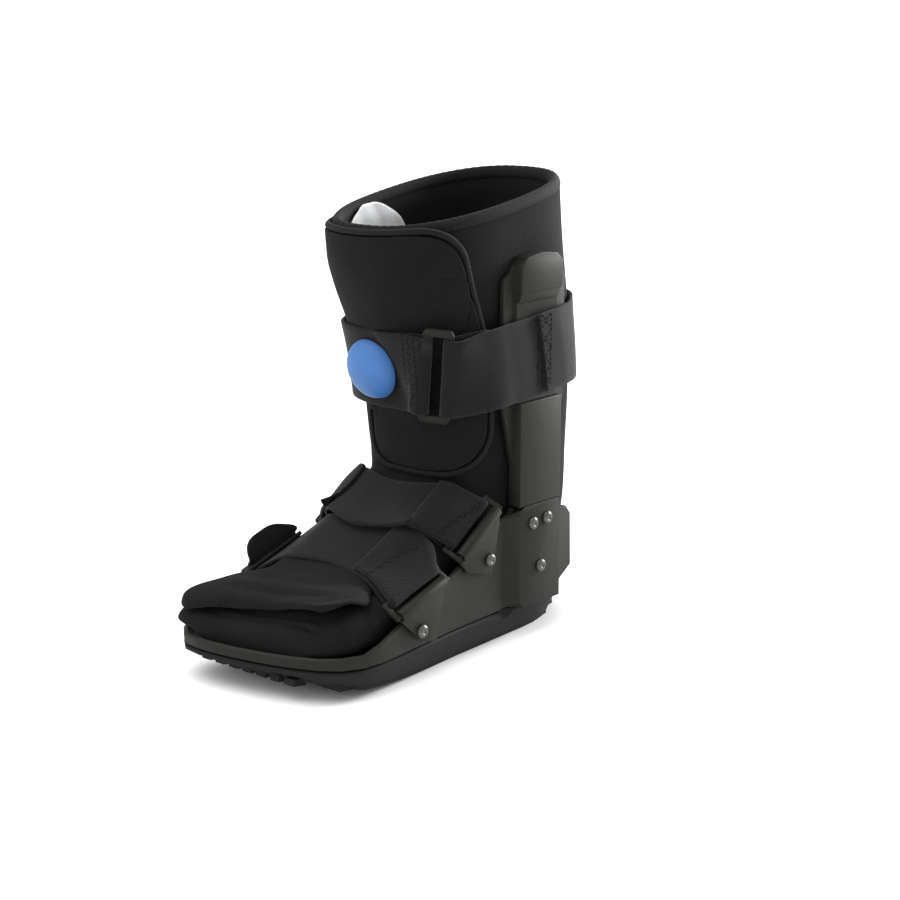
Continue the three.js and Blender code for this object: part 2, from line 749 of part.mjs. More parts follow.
// Upper flap over the toes, with a full lip
function makeToeFlap() {
  const rows = [
    { along: 0.967, thick: 0.6, spread: 50 },
    { along: 0.957, thick: 1.0, spread: 54 },
    { along: 0.91, thick: 1.2, spread: 58 },
    { along: 0.83, thick: 1.1, spread: 58 },
    { along: 0.74, thick: 1.0, spread: 54 },
    { along: 0.66, thick: 0.9, spread: 41 },
    { along: 0.59, thick: 0.8, spread: 31 },
    { along: 0.48, thick: 0.75, spread: 31 },
    { along: 0.36, thick: 0.6, spread: 31 },
    { along: 0.25, thick: 0.5, spread: 34 },
    { along: 0.14, thick: 0.45, spread: 36 },
  ];
  const layer = (top) => rows.map(({ along, thick, spread }) => steps(-spread, spread, 16).map((degrees) => {
    const side = Math.min(1, 0.25 + 3 * (1 - Math.abs(degrees) / spread));
    const grow = softGap + (top ? thick * side * toeFlapThickness : 0);
    return footPoint(lerp(pivotY, toeReach, along), degrees * Math.PI / 180, -grow);
  }));
  return slab(layer(true), layer(false));
}

// Rivet with a small dimple, its axis along +X
function makeRivet() {
  const profile = [[0, 0], [1, 0], [0.92, 0.6], [0.5, 1], [0.28, 0.7], [0, 0.66]];
  const points = profile.map(([r, h]) => new THREE.Vector2(r * rivetRadius, h * rivetHeight));
  const geometry = new THREE.LatheGeometry(points, 8);
  geometry.rotateZ(-Math.PI / 2);
  return geometry;
}

// The two strap stations on each side: top edge of the tab from its low front to its high rear,
// its pointed foot, its rivet, and where the strap crosses the middle of the foot
const stations = {
  front: {
    low: { y: -71, z: 47.5 }, high: { y: -25.5, z: 61.5 }, foot: [[-29, 53], [-36, 24.5], [-49, 27.5]],
    rivet: { y: -50, z: 34.6 }, crown: { y: -60, rearY: -22, z: 62, rearZ: 80, under: 0, shoulder: 41, back: 62 },
  },
  rear: {
    low: { y: -8, z: 68 }, high: { y: 34, z: 94.5 }, foot: [[33, 84], [25, 52], [1, 58]],
    rivet: { y: 22.5, z: 62 }, crown: { y: -28, rearY: 4, z: 78, rearZ: 108, under: 1.2, shoulder: 36, back: 52 },
  },
};

// Frame of a station: middle of the hem, run of the tab's edge, and the way from hem to foot strap
function stationFrame({ low, high }) {
  const run = vec(0, high.y - low.y, high.z - low.z).normalize();
  const middle = vec(0, (high.y + low.y) / 2, (high.z + low.z) / 2);
  const beside = steps(low.y, high.y, 6).map((y) => wallAt(y));
  middle.x = Math.max(...beside, earFace) + tabGap + tabThickness / 2;
  const inward = vec(-0.78, 0, 0).addScaledVector(vec(0, -run.z, run.y), 0.62).normalize();
  const barSpan = ringWindow + ringBar;
  return { run, middle, inward, bar: middle.clone().addScaledVector(inward, barSpan) };
}

function makeTab(station) {
  const { run, middle } = stationFrame(station);
  const { low, high, foot } = station;
  const outline = [[low.y, low.z], ...[...foot].reverse(), [high.y, high.z]];
  const inner = middle.x - tabThickness / 2;
  const plate = sidePlate(outline, inner, inner + tabThickness);
  const roll = new THREE.CylinderGeometry(hemRadius, hemRadius, footStrapWidth, 10);
  const bore = new THREE.CylinderGeometry(hemBore, hemBore, footStrapWidth + 3 * hemRadius, 8);
  for (const tube of [roll, bore]) {
    tube.applyQuaternion(new THREE.Quaternion().setFromUnitVectors(vec(0, 1, 0), run));
    tube.translate(middle.x, middle.y, middle.z);
  }
  return cut(join([plate, roll]), [bore]);
}

// Rectangular ring held in the tab's rolled edge
function makeRing(station) {
  const { run, middle, inward } = stationFrame(station);
  const long = footStrapWidth / 2 + 2 * gap + ringBar;
  const wide = ringWindow + 1.5 * ringBar;
  const back = -ringBar / 2;
  const frame = new THREE.Shape([[-long, back], [long, back], [long, wide], [-long, wide]].map(toVector2));
  const window = [[-long + ringBar, -back], [-long + ringBar, wide - ringBar]];
  window.push([long - ringBar, wide - ringBar], [long - ringBar, -back]);
  frame.holes.push(new THREE.Path(window.map(toVector2)));
  const ring = new THREE.ExtrudeGeometry(frame, { depth: ringThickness, bevelEnabled: false });
  ring.translate(0, 0, -ringThickness / 2);
  const across = run.clone().cross(inward);
  ring.applyMatrix4(new THREE.Matrix4().makeBasis(run, inward, across).setPosition(middle));
  return ring;
}

function toVector2([x, y]) {
  return new THREE.Vector2(x, y);
}

// Point lifted off the outermost surface met by a ray towards an origin inside the boot
function drape(meshes, origin, direction, lift) {
  const start = origin.clone().addScaledVector(direction, drapeReach);
  const ray = new THREE.Raycaster(start, direction.clone().negate());
  const hit = ray.intersectObjects(meshes, false)[0];
  const facing = Math.max(hit.face.normal.dot(direction), 0.65);
  return hit.point.clone().addScaledVector(direction, lift / facing);
}

// Arc of points round a bar, in a plane given by two directions
function roundBar(bar, sideways, upwards, radius, from, to, count) {
  return steps(from, to, count).map((angle) => bar.clone()
    .addScaledVector(sideways, radius * Math.cos(angle))
    .addScaledVector(upwards, radius * Math.sin(angle)));
}

// Ribbon from rows of points along it, its thickness set out along the surface normal
function ribbon(rows, thickness) {
  const middle = rows[0].map((_, i) => rows.map((row) => row[i]));
  const normals = middle.map((row, i) => {
    const ahead = middle[Math.min(i + 1, middle.length - 1)];
    const behind = middle[Math.max(i - 1, 0)];
    return row.map((_, j) => {
      const along = ahead[j].clone().sub(behind[j]);
      const across = row[Math.min(j + 1, row.length - 1)].clone().sub(row[Math.max(j - 1, 0)]);
      return along.cross(across).normalize();
    });
  });
  const layer = (offset) => middle.map((row, i) => row.map((p, j) => p.clone().addScaledVector(normals[i][j], offset)));
  return slab(layer(thickness / 2), layer(-thickness / 2));
}

// Path of a foot strap across one station, at a share of its width from the front edge
function footStrapRow(station, share, meshes, tail) {
  const { run, bar } = stationFrame(station);
  const shift = (share - 0.5) * (footStrapWidth - 2 * gap);
  const near = bar.clone().addScaledVector(run, shift);
  const root = vec(0, near.y, near.z - drapeDepth);
  const { crown } = station;
  const over = crown.under * (strapThickness + gap) * THREE.MathUtils.smoothstep(1 - share, 0, 0.5);
  const lift = 2.5 * softGap + strapThickness / 2 + over;
  const toCrown = vec(0, lerp(crown.y, crown.rearY, share) - root.y, lerp(crown.z, crown.rearZ, share) - root.z);
  const on = (degrees, layer) => {
    const angle = degrees * Math.PI / 180;
    const up = vec(0, 0, drapeDepth).lerp(toCrown, Math.sin(angle) ** 2).normalize();
    const direction = vec(Math.cos(angle), 0, 0).addScaledVector(up, Math.sin(angle));
    return drape(meshes, root, direction, lift + layer * (strapThickness + gap));
  };
  const loop = Math.hypot(ringBar, ringThickness) / 2 + gap + strapThickness / 2;
  const rise = vec(0, -run.z, run.y);
  const round = (side, shoulder) => {
    const point = vec(side * near.x, near.y, near.z);
    const away = shoulder.clone().sub(point);
    const lean = Math.atan2(away.dot(rise), side * away.x);
    return roundBar(point, vec(side, 0, 0), rise, loop, lean + 1.5 * Math.PI, lean + 0.5 * Math.PI, 7);
  };
  const reach = crown.shoulder;
  const across = steps(reach, 180 - reach, 15).map((degrees) => on(degrees, 0));
  const back = steps(crown.back, reach, 4).map((degrees) => on(degrees, 1.1));
  const far = round(-1, across[across.length - 1]).reverse();
  if (!tail) return [...back, ...round(1, across[0]), ...across, ...far, ...back.map((p) => vec(-p.x, p.y, p.z)).reverse()];
  const end = tail.map(({ rise: high, out, ahead, narrow }) => {
    const middle = bar.clone().addScaledVector(run, shift * narrow - ahead);
    return vec(-middle.x - out, middle.y, middle.z + high);
  });
  return [...back, ...round(1, across[0]), ...across, ...far, ...end];
}

function makeFootStrap(station, meshes, tail) {
  const rows = steps(0, 1, 4).map((share) => footStrapRow(station, share, meshes, tail));
  return ribbon(rows, strapThickness);
}

// Free grip end of the forefoot strap: rise, lean and shift to the toe from the far ring, and how it narrows
const gripTail = [
  { rise: 5, out: 0.5, ahead: 1, narrow: 1.0 },
  { rise: 9, out: 1.5, ahead: 3, narrow: 0.95 },
  { rise: 13, out: 2.6, ahead: 6, narrow: 0.8 },
  { rise: 16, out: 3.6, ahead: 8, narrow: 0.6 },
  { rise: 17.5, out: 4.2, ahead: 9, narrow: 0.35 },
];

// Leg point at a true height rather than a height along the leg
function levelPoint(z, run, offset) {
  let h = z;
  for (let i = 0; i < 3; i += 1) h += z - surfacePoint(h, run, offset).z;
  return surfacePoint(h, run, offset);
}

const strapOnFlap = 2.5 * softGap + flapThickness + gap + strapThickness / 2;

// How far the calf strap stands off the liner at a place on the leg
function calfOffset({ x, y }) {
  const over = (face) => face + 2 * gap + strapThickness / 2 - Math.abs(x);
  const front = ribCentre - ribHalfWidth;
  const rear = ribCentre + ribHalfWidth;
  const stops = [
    { y: front - flangeWidth - 5, off: strapOnFlap },
    { y: front - flangeWidth + 2, off: Math.max(strapOnFlap, over(earFace)) },
    { y: front - 3, off: over(ribFace - seatDepth) },
    { y: rear + 1, off: over(ribFace - seatDepth) },
    { y: rear + flangeWidth + 2, off: over(earFace) + gap },
    { y: rear + flangeWidth + 24, off: softGap + strapThickness },
    { y: rear + flangeWidth + 40, off: 2 * softGap + strapThickness / 2 },
  ];
  return read(stops, 'y', y, 'off');
}

const barOffset = strapOnFlap + strapLoop + 2 * softGap;
const barSpread = (buckleWidth - buckleBar) / 2;
const buckleFrame = () => legFrame(calfStrapHeight, buckleReach, barOffset, -Math.asin(calfStrapSlope));

// Rows of the calf strap from places on the leg, or round a bar of the buckle
function calfStrapRows(places) {
  const frame = buckleFrame();
  return steps(-0.5, 0.5, 4).map((share) => places.map(({ run, layer = 0, offset = null, local }) => {
    const along = share * (calfStrapWidth - 2 * gap);
    if (local) return vec(local[0], along, local[1]).applyMatrix4(frame);
    const middle = levelPoint(calfStrapHeight, run, 0);
    const z = calfStrapHeight + calfStrapSlope * (middle.y - calfStrapPivot) + along;
    const rest = calfOffset(middle) + layer * (strapThickness + gap);
    return levelPoint(z, run, offset === null ? rest : offset);
  }));
}

const barLoop = (side, from, to) => steps(from, to, 7).map((angle) => ({
  local: [side * barSpread + strapLoop * Math.cos(angle), strapLoop * Math.sin(angle)],
}));

// Front piece: looped round the near bar, sewn to itself, and ending over the strut
function makeCalfStrapFront() {
  const bar = buckleReach + barSpread;
  const end = perimeterRun(ribCentre + ribHalfWidth + 4);
  const places = [
    { run: bar + loopReturn, offset: strapOnFlap },
    { run: bar + loopReturn / 2, offset: strapOnFlap },
    ...barLoop(1, -Math.PI / 2, -1.5 * Math.PI),
    { local: [barSpread + 4, strapLoop - 0.7] },
    { local: [barSpread + 8, strapLoop - 3.4] },
    { run: bar + 17, layer: 1.7 },
    { run: bar + loopReturn + 3, layer: 1.25 },
    { run: bar + loopReturn + 11, layer: 0.1 },
    ...steps(bar + loopReturn + 18, end, 8).map((run) => ({ run })),
  ];
  return ribbon(calfStrapRows(places), strapThickness);
}

// Wrapping piece: from over the strut round the back to the far bar of the buckle
function makeCalfStrapWrap() {
  const bar = buckleReach - barSpread;
  const around = fullRun(calfStrapHeight);
  const start = perimeterRun(ribCentre + ribHalfWidth / 2);
  const step = perimeterRun(ribCentre + ribHalfWidth + 4);
  const far = around + bar - shortReturn;
  const places = [
    { run: start, layer: 1.1 },
    { run: (start + step) / 2, layer: 1.1 },
    { run: step, layer: 1.1 },
    { run: step + 3, layer: 1.1 },
    { run: step + 12, layer: 0.5 },
    ...steps(step + 21, far - 18, 32).map((run) => ({ run })),
    { run: far - 7, layer: 0.1 },
    { run: far - 1, layer: 1.7 },
    { local: [-barSpread - 8, strapLoop - 3.4] },
    { local: [-barSpread - 4, strapLoop - 0.7] },
    ...barLoop(-1, Math.PI / 2, -Math.PI / 2),
    { run: around + bar - shortReturn / 2, offset: strapOnFlap + 2.5 * gap },
    { run: around + bar - shortReturn, offset: strapOnFlap + 2.5 * gap },
  ];
  return ribbon(calfStrapRows(places), strapThickness);
}

// Run along the near side at which the strap's section reaches a given y, and the whole way round
function perimeterRun(y) {
  let run = 0;
  while (levelPoint(calfStrapHeight, run, 0).y < y) run += 1;
  return run;
}

function fullRun(h) {
  const section = legSection(h);
  const points = turns(360).map((angle) => sectionPoint(section, angle, 0));
  return points.reduce((sum, p, i) => sum + p.distanceTo(points[(i + 1) % points.length]), 0);
}

// Frame on the leg: its axes are the run, the way up and the outward normal
function legFrame(z, run, offset, lean = 0) {
  const along = levelPoint(z, run + frameSpan, offset).sub(levelPoint(z, run - frameSpan, offset)).normalize();
  const high = levelPoint(z + frameRise, run, offset);
  const low = levelPoint(z - frameRise, run, offset);
  const normal = along.clone().cross(high.clone().sub(low)).normalize();
  const up = normal.clone().cross(along);
  const frame = new THREE.Matrix4().makeBasis(along, up, normal);
  frame.multiply(new THREE.Matrix4().makeRotationZ(lean));
  return frame.setPosition(high.lerp(low, 0.5));
}

function makeBuckle() {
  const x = buckleWidth / 2;
  const y = buckleHeight / 2;
  const shape = new THREE.Shape([
    [-x + 2, -y], [x - 2, -y], [x, -y + 3], [x, y - 3], [x - 2, y], [-x + 2, y], [-x, y - 3], [-x, -y + 3],
  ].map(toVector2));
  const inner = x - buckleBar;
  const high = y - buckleEnd;
  shape.holes.push(new THREE.Path([[-inner, -high], [-inner, high], [inner, high], [inner, -high]].map(toVector2)));
  const ring = new THREE.ExtrudeGeometry(shape, { depth: buckleThickness, bevelEnabled: false });
  ring.translate(0, 0, -buckleThickness / 2);
  ring.applyMatrix4(buckleFrame());
  return ring;
}

// Pump bulb: a low dome on the calf strap
function makeBulb() {
  const profile = [[0, 0], [0.94, 0], [1, 0.12], [0.97, 0.32], [0.86, 0.58], [0.66, 0.8], [0.36, 0.95], [0, 1]];
  const points = profile.map(([r, h]) => new THREE.Vector2(r * bulbRadius, h * bulbHeight));
  const dome = new THREE.LatheGeometry(points, 16);
  dome.rotateX(Math.PI / 2);
  dome.applyMatrix4(legFrame(calfStrapHeight, bulbReach, strapOnFlap + strapThickness / 2 + gap));
  return dome;
}

// Blank label sewn inside the collar on the far side, with a rounded top
function makeLabel() {
  const rows = steps(0, 1, 7).map((share) => {
    const h = lerp(labelFoot, labelTop, share);
    const half = labelHalfWidth * Math.sqrt(Math.max(1 - (share * 0.985) ** 3, 0.02));
    return steps(-half, half, 5).map((run) => ({ h, run: run - labelReach }));
  });
  const layer = (offset) => rows.map((row) => row.map(({ h, run }) => surfacePoint(h, run, -legWall - offset)));
  return slab(layer(labelGap), layer(labelGap + labelThickness));
}

// Finishes
const paint = (color, roughness, metalness = 0) => new THREE.MeshStandardMaterial({ color, roughness, metalness });
const boot = new THREE.Group();

function add(name, geometry, material, x = 0, y = 0, z = 0) {
  const mesh = new THREE.Mesh(geometry, material);
  mesh.name = name;
  mesh.position.set(x, y, z);
  boot.add(mesh);
  return mesh;
}

const rubber = paint(0x303030, 0.85);
const plastic = paint(0x3d3e3a, 0.5);
const metal = paint(0x8b8b88, 0.35, 0.9);
const padding = paint(0x1d1d20, 0.95);
const trim = paint(0x24242a, 0.9);
const webbing = paint(0x333333, 0.85);
const bulbBlue = paint(0x3f7fbf, 0.55);
const white = paint(0xe7e6e9, 0.8);

add('outsole', makeOutsole(), rubber);
add('base_shell', makeBaseShell(), plastic);

const strut = makeStrut();
add('strut_left', strut, plastic);
add('strut_right', mirror(strut), plastic);

const liner = add('liner', makeLiner(), padding);
const toeFlap = add('toe_flap', makeToeFlap(), padding);
add('shin_flap', makeShinFlap(), padding);
add('collar_binding', makeCollarBinding(), trim);
add('flap_binding', makeFlapBinding(), trim);
add('inner_label', makeLabel(), white);

for (const [place, station] of Object.entries(stations)) {
  const tab = makeTab(station);
  const ring = makeRing(station);
  add(`strap_tab_${place}_left`, tab, plastic);
  add(`strap_tab_${place}_right`, mirror(tab), plastic);
  add(`ring_${place}_left`, ring, plastic);
  add(`ring_${place}_right`, mirror(ring), plastic);
}

const forefootStrap = add('forefoot_strap', makeFootStrap(stations.front, [liner, toeFlap], gripTail), webbing);
add('instep_strap', makeFootStrap(stations.rear, [liner, toeFlap, forefootStrap], null), webbing);
add('calf_strap_front', makeCalfStrapFront(), webbing);
add('calf_strap_wrap', makeCalfStrapWrap(), webbing);
add('calf_buckle', makeBuckle(), plastic);
add('pump_bulb', makeBulb(), bulbBlue);

// Rivets: three through each ear, one through each tab
const tabFace = (station) => stationFrame(station).middle.x + tabThickness / 2;
const rivets = [
  { name: 'ear_rivet_front', x: ribFace, y: ribCentre - 8.5, z: earTop - 12.2 },
  { name: 'ear_rivet_rear', x: ribFace, y: ribCentre + 6.6, z: earTop - 11.4 },
  { name: 'ear_rivet_low', x: ribFace, y: ribCentre, z: pocketFoot + 1.3 },
  { name: 'tab_rivet_front', x: tabFace(stations.front), ...stations.front.rivet },
  { name: 'tab_rivet_rear', x: tabFace(stations.rear), ...stations.rear.rivet },
];
for (const { name, x, y, z } of rivets) {
  const rivet = makeRivet();
  add(`${name}_left`, rivet, metal, x + gap, y, z);
  add(`${name}_right`, mirror(rivet), metal, -x - gap, y, z);
}

export default boot;
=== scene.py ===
import math

import bmesh
import bpy
import numpy as np
from bpy.props import FloatProperty, FloatVectorProperty, PointerProperty
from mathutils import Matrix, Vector
from mathutils.bvhtree import BVHTree


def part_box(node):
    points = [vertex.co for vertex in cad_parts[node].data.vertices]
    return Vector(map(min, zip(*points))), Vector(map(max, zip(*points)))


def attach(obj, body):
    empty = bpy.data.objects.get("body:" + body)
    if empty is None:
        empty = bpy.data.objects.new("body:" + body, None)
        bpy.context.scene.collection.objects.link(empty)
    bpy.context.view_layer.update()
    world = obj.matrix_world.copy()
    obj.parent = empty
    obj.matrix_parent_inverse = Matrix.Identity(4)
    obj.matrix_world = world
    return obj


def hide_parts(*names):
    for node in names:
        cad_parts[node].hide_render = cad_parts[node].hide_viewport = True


bl_info = {
    "name": "Short walking boot",
    "version": (1, 0, 0),
    "blender": (4, 5, 0),
    "location": "3D View > Sidebar > Walking boot",
    "description": "Dresses the walking boot: padding, webbing, moulded shell, stitches, finishes",
    "category": "Object",
}

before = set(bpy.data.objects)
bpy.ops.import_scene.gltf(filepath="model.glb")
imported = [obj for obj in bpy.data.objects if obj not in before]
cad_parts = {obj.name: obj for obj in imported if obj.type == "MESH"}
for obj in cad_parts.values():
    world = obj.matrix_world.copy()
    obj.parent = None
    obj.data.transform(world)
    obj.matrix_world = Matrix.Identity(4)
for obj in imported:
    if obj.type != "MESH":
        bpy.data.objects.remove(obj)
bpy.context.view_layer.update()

# Half width of the floor in metres, so that its edge lies above the picture
FLOOR_REACH = 500

# Lengths below are in millimetres until they reach a mesh
MM = 0.001

# Camera of the photograph
CAMERA_TURN = 40.14
CAMERA_PITCH = 13.65
CAMERA_DISTANCE = 1220.42
CAMERA_TARGET = (20.43, 33.09, 125.54)
CAMERA_LENS = 75.3
SENSOR = 36

# Edges sharper than these angles stay crisp on moulded and on sewn pieces
MOULDED_ANGLE = 32
SEWN_ANGLE = 50

# Points of a CAD mesh this close are one point
WELD = 0.002

# Faces of a moulded piece within this angle are one face
FLAT_ANGLE = 1

# How far from flat and from square two triangles may be to become one quad
QUAD_FACE_ANGLE = 38
QUAD_SHAPE_ANGLE = 75

# Cloth step that fills the padded flaps
FILL_FRAMES = 20
FILL_QUALITY = 5
TINY = 1e-9

# How steeply a groove fades towards its ends, and the share of its depth that is left there
GROOVE_FADE = 8
GROOVE_END = 0.15

# Height from which stitches are laid onto a surface, and the distance between them
STAND_OFF = 30
STITCH_PITCH = 3.2

# Share of its radius by which a stitch's middle line stands above the surface
STITCH_LIFT = 0.35

# Sections of a stitch: share of its length, share of its radius
THREAD_SIDES = 6
THREAD_PROFILE = ((0.0, 0.45), (0.16, 0.95), (0.84, 0.95), (1.0, 0.45))

# Sections of a rivet head: share of its radius, share of its height
RIVET_SIDES = 28
RIVET_ANGLE = 60
RIVET_PROFILE = (
    (1.0, 0.0), (1.0, 0.22), (0.95, 0.5), (0.84, 0.74), (0.68, 0.92), (0.52, 1.0),
    (0.4, 0.96), (0.3, 0.8), (0.2, 0.7), (0.1, 0.67),
)

# Radians that a wave texture turns through per unit of length at a scale of 1
WAVE_TEXTURE_TURN = 20

# Middle of the leg along Y, the collar's rise per length along Y, and the ribs of its binding
LEG_MIDDLE = 55
COLLAR_RISE = 0.155
RIM_RIBS = 90

# Moves of the toes' far corner over the tray's lip, and of the shin flap's far top corner
FAR_TOE_MOVE = (-8.5, -7.2, 0)
FLAP_CORNER_MOVE = (3.6, 1.2, -2.2)

# Lights: name, direction, width in degrees, strength
SUNS = (
    ("key", (0.22, 0.93, 0.28), 28, 5.4),
    ("top", (-0.15, -0.25, 0.95), 60, 2.3),
    ("fill", (-0.3, -0.9, 0.3), 60, 0.7),
)
SKY_STRENGTH = 0.85


def colour_prop(name, description, default):
    return FloatVectorProperty(
        name=name, description=description, subtype="COLOR", size=3, min=0, max=1, default=default
    )


def length_prop(name, description, default):
    return FloatProperty(
        name=name, description=description, subtype="DISTANCE", unit="LENGTH", default=default * MM
    )


class PaddingSettings(bpy.types.PropertyGroup):
    colour: colour_prop("Padding colour", "Colour of the padding cloth", (0.0062, 0.0062, 0.0069))
    trim: colour_prop("Binding colour", "Colour of the binding tape", (0.0048, 0.0048, 0.0052))
    nap: length_prop("Nap", "Height of the cloth's nap", 0.35)
    swell: length_prop("Swell", "How far padding may swell when it is filled", 2.2)


class WebbingSettings(bpy.types.PropertyGroup):
    colour: colour_prop("Webbing colour", "Colour of the straps", (0.0068, 0.0069, 0.0074))
    thread: colour_prop("Thread colour", "Colour of the sewing thread", (0.004, 0.004, 0.0045))
    stitch: length_prop("Stitch length", "Length of one visible stitch", 2.2)
    thread_radius: length_prop("Thread radius", "Radius of the sewing thread", 0.28)


class ShellSettings(bpy.types.PropertyGroup):
    plastic: colour_prop("Plastic colour", "Colour of the moulded parts", (0.0132, 0.0134, 0.0108))
    rubber: colour_prop("Rubber colour", "Colour of the sole", (0.0105, 0.0105, 0.0105))
    metal: colour_prop("Rivet colour", "Colour of the rivet heads", (0.1, 0.1, 0.095))
    bulb: colour_prop("Bulb colour", "Colour of the pump bulb", (0.034, 0.125, 0.34))
    label: colour_prop("Label colour", "Colour of the blank label", (0.8, 0.81, 0.82))
    edge: length_prop("Edge radius", "Rounding of moulded edges", 0.7)


# Shader maths
def plug(tree, socket, end):
    """Sets a socket's value, or links it to a wire"""
    if isinstance(end, Wire):
        tree.links.new(end.socket, socket)
    elif hasattr(end, "__len__") and len(end) == 3 and len(socket.default_value) == 4:
        socket.default_value = (*end, 1)
    else:
        socket.default_value = end


class Wire:
    """Output socket that numbers can be worked out from with + and *"""

    def __init__(self, tree, socket):
        self.tree = tree
        self.socket = socket

    def join(self, operation, first, second):
        node = self.tree.nodes.new("ShaderNodeMath")
        node.operation = operation
        plug(self.tree, node.inputs[0], first)
        plug(self.tree, node.inputs[1], second)
        return Wire(self.tree, node.outputs[0])

    def __add__(self, other):
        return self.join("ADD", self, other)

    def __radd__(self, other):
        return self.join("ADD", other, self)

    def __mul__(self, other):
        return self.join("MULTIPLY", self, other)


class Finish:
    """Material being made: its tree and its main shader"""

    def __init__(self, name, **fixed):
        self.material = bpy.data.materials.new(name)
        self.material.use_nodes = True
        self.tree = self.material.node_tree
        self.shader = next(n for n in self.tree.nodes if n.type == "BSDF_PRINCIPLED")
        for socket, value in fixed.items():
            plug(self.tree, self.shader.inputs[socket.replace("_", " ")], value)

    def node(self, kind, settings=None, sockets=None, output=0):
        made = self.tree.nodes.new(kind)
        for key, value in (settings or {}).items():
            setattr(made, key, value)
        for key, value in (sockets or {}).items():
            plug(self.tree, made.inputs[key], value)
        return Wire(self.tree, made.outputs[output])

    def place(self):
        return self.node("ShaderNodeTexCoord", output="Object")

    def noise(self, scale, detail=2.0, stretch=None):
        place = self.place()
        if stretch:
            place = self.node(
                "ShaderNodeVectorMath", {"operation": "MULTIPLY"}, {0: place, 1: stretch}
            )
        return self.node(
            "ShaderNodeTexNoise", {}, {"Vector": place, "Scale": scale, "Detail": detail}
        )

    def ribs(self, pitch, direction):
        """Fine ribs with a pitch in millimetres"""
        turns = 2 * math.pi / WAVE_TEXTURE_TURN
        return self.node(
            "ShaderNodeTexWave", {"wave_type": "BANDS", "bands_direction": direction},
            {"Vector": self.place(), "Scale": turns / (pitch * MM), "Distortion": 0.6},
        )

    def mix(self, share, first, second):
        return self.node(
            "ShaderNodeMix", {"data_type": "RGBA"}, {0: share, 6: first, 7: second}, output=2
        )

    def colour(self, end):
        plug(self.tree, self.shader.inputs["Base Color"], end)

    def roughness(self, end):
        plug(self.tree, self.shader.inputs["Roughness"], end)

    def relief(self, height, depth, strength):
        bump = self.node(
            "ShaderNodeBump", {}, {"Strength": strength, "Distance": depth, "Height": height}
        )
        plug(self.tree, self.shader.inputs["Normal"], bump)


def shade(colour, share):
    return tuple(min(c * share, 1) for c in colour)


FINISHES = {}


def finish(name):
    """Material of a slot, made once"""
    if name not in FINISHES:
        FINISHES[name] = MAKERS[name](bpy.context.scene).material
    return FINISHES[name]


def padding_finish(scene):
    s = scene.boot_padding
    f = Finish("brushed_padding", Sheen_Weight=0.02, Sheen_Roughness=0.5, Specular_IOR_Level=0.1)
    clouds = f.noise(28, 3)
    nap = f.noise(1300, 3)
    loops = f.node("ShaderNodeTexVoronoi", {}, {"Vector": f.place(), "Scale": 950})
    f.colour(f.mix(clouds * 0.5 + nap * 0.5, shade(s.colour, 0.5), shade(s.colour, 1.5)))
    f.roughness(0.8 + nap * 0.18)
    f.relief(nap * 0.6 + loops * 0.5 + clouds * 0.6, s.nap, 0.8)
    return f


def trim_finish(scene):
    s = scene.boot_padding
    f = Finish("binding_tape", Sheen_Weight=0.02, Specular_IOR_Level=0.15)
    ribs = f.ribs(1.1, "DIAGONAL")
    grain = f.noise(900)
    f.colour(f.mix(ribs * 0.5 + grain * 0.5, shade(s.trim, 0.6), shade(s.trim, 1.8)))
    f.roughness(0.72 + grain * 0.2)
    f.relief(ribs * 0.7 + grain * 0.3, 0.25 * MM, 0.7)
    return f


def webbing_finish(scene):
    s = scene.boot_webbing
    f = Finish("loop_webbing", Sheen_Weight=0.1, Sheen_Roughness=0.45, Specular_IOR_Level=0.11)
    weave = f.ribs(1.3, "Z") * 0.5 + f.ribs(1.3, "DIAGONAL") * 0.5
    fluff = f.noise(1500, 3)
    clouds = f.noise(22, 3)
    tone = clouds * 0.45 + fluff * 0.35 + weave * 0.2
    f.colour(f.mix(tone, shade(s.colour, 0.55), shade(s.colour, 1.45)))
    f.roughness(0.74 + fluff * 0.2)
    f.relief(weave * 0.5 + fluff * 0.6, 0.3 * MM, 0.7)
    return f


def thread_finish(scene):
    f = Finish("sewing_thread", Specular_IOR_Level=0.1)
    twist = f.ribs(0.5, "DIAGONAL")
    colour = scene.boot_webbing.thread
    f.colour(f.mix(twist, shade(colour, 0.7), shade(colour, 1.4)))
    f.roughness(0.6 + twist * 0.15)
    return f


def plastic_finish(scene):
    colour = scene.boot_shell.plastic
    f = Finish("moulded_plastic", Specular_IOR_Level=0.13)
    grain = f.noise(1700, 2)
    marks = f.noise(60, 4, (1, 1, 0.25))
    f.colour(f.mix(marks * 0.7 + grain * 0.2, shade(colour, 0.78), shade(colour, 1.2)))
    f.roughness(0.4 + marks * 0.12 + grain * 0.1)
    f.relief(grain, 0.12 * MM, 0.55)
    return f


def rubber_finish(scene):
    colour = scene.boot_shell.rubber
    f = Finish("sole_rubber", Specular_IOR_Level=0.12)
    grain = f.noise(1200, 3)
    dust = f.noise(45, 5)
    f.colour(f.mix(dust * 0.8 + grain * 0.15, shade(colour, 0.75), shade(colour, 1.3)))
    f.roughness(0.6 + dust * 0.25)
    f.relief(grain, 0.15 * MM, 0.6)
    return f


def bulb_finish(scene):
    colour = scene.boot_shell.bulb
    f = Finish("bulb_rubber", Specular_IOR_Level=0.4)
    cloud = f.noise(70, 3)
    grain = f.noise(1600)
    f.colour(f.mix(cloud, shade(colour, 0.9), shade(colour, 1.1)))
    f.roughness(0.5 + cloud * 0.12)
    f.relief(grain, 0.08 * MM, 0.5)
    return f


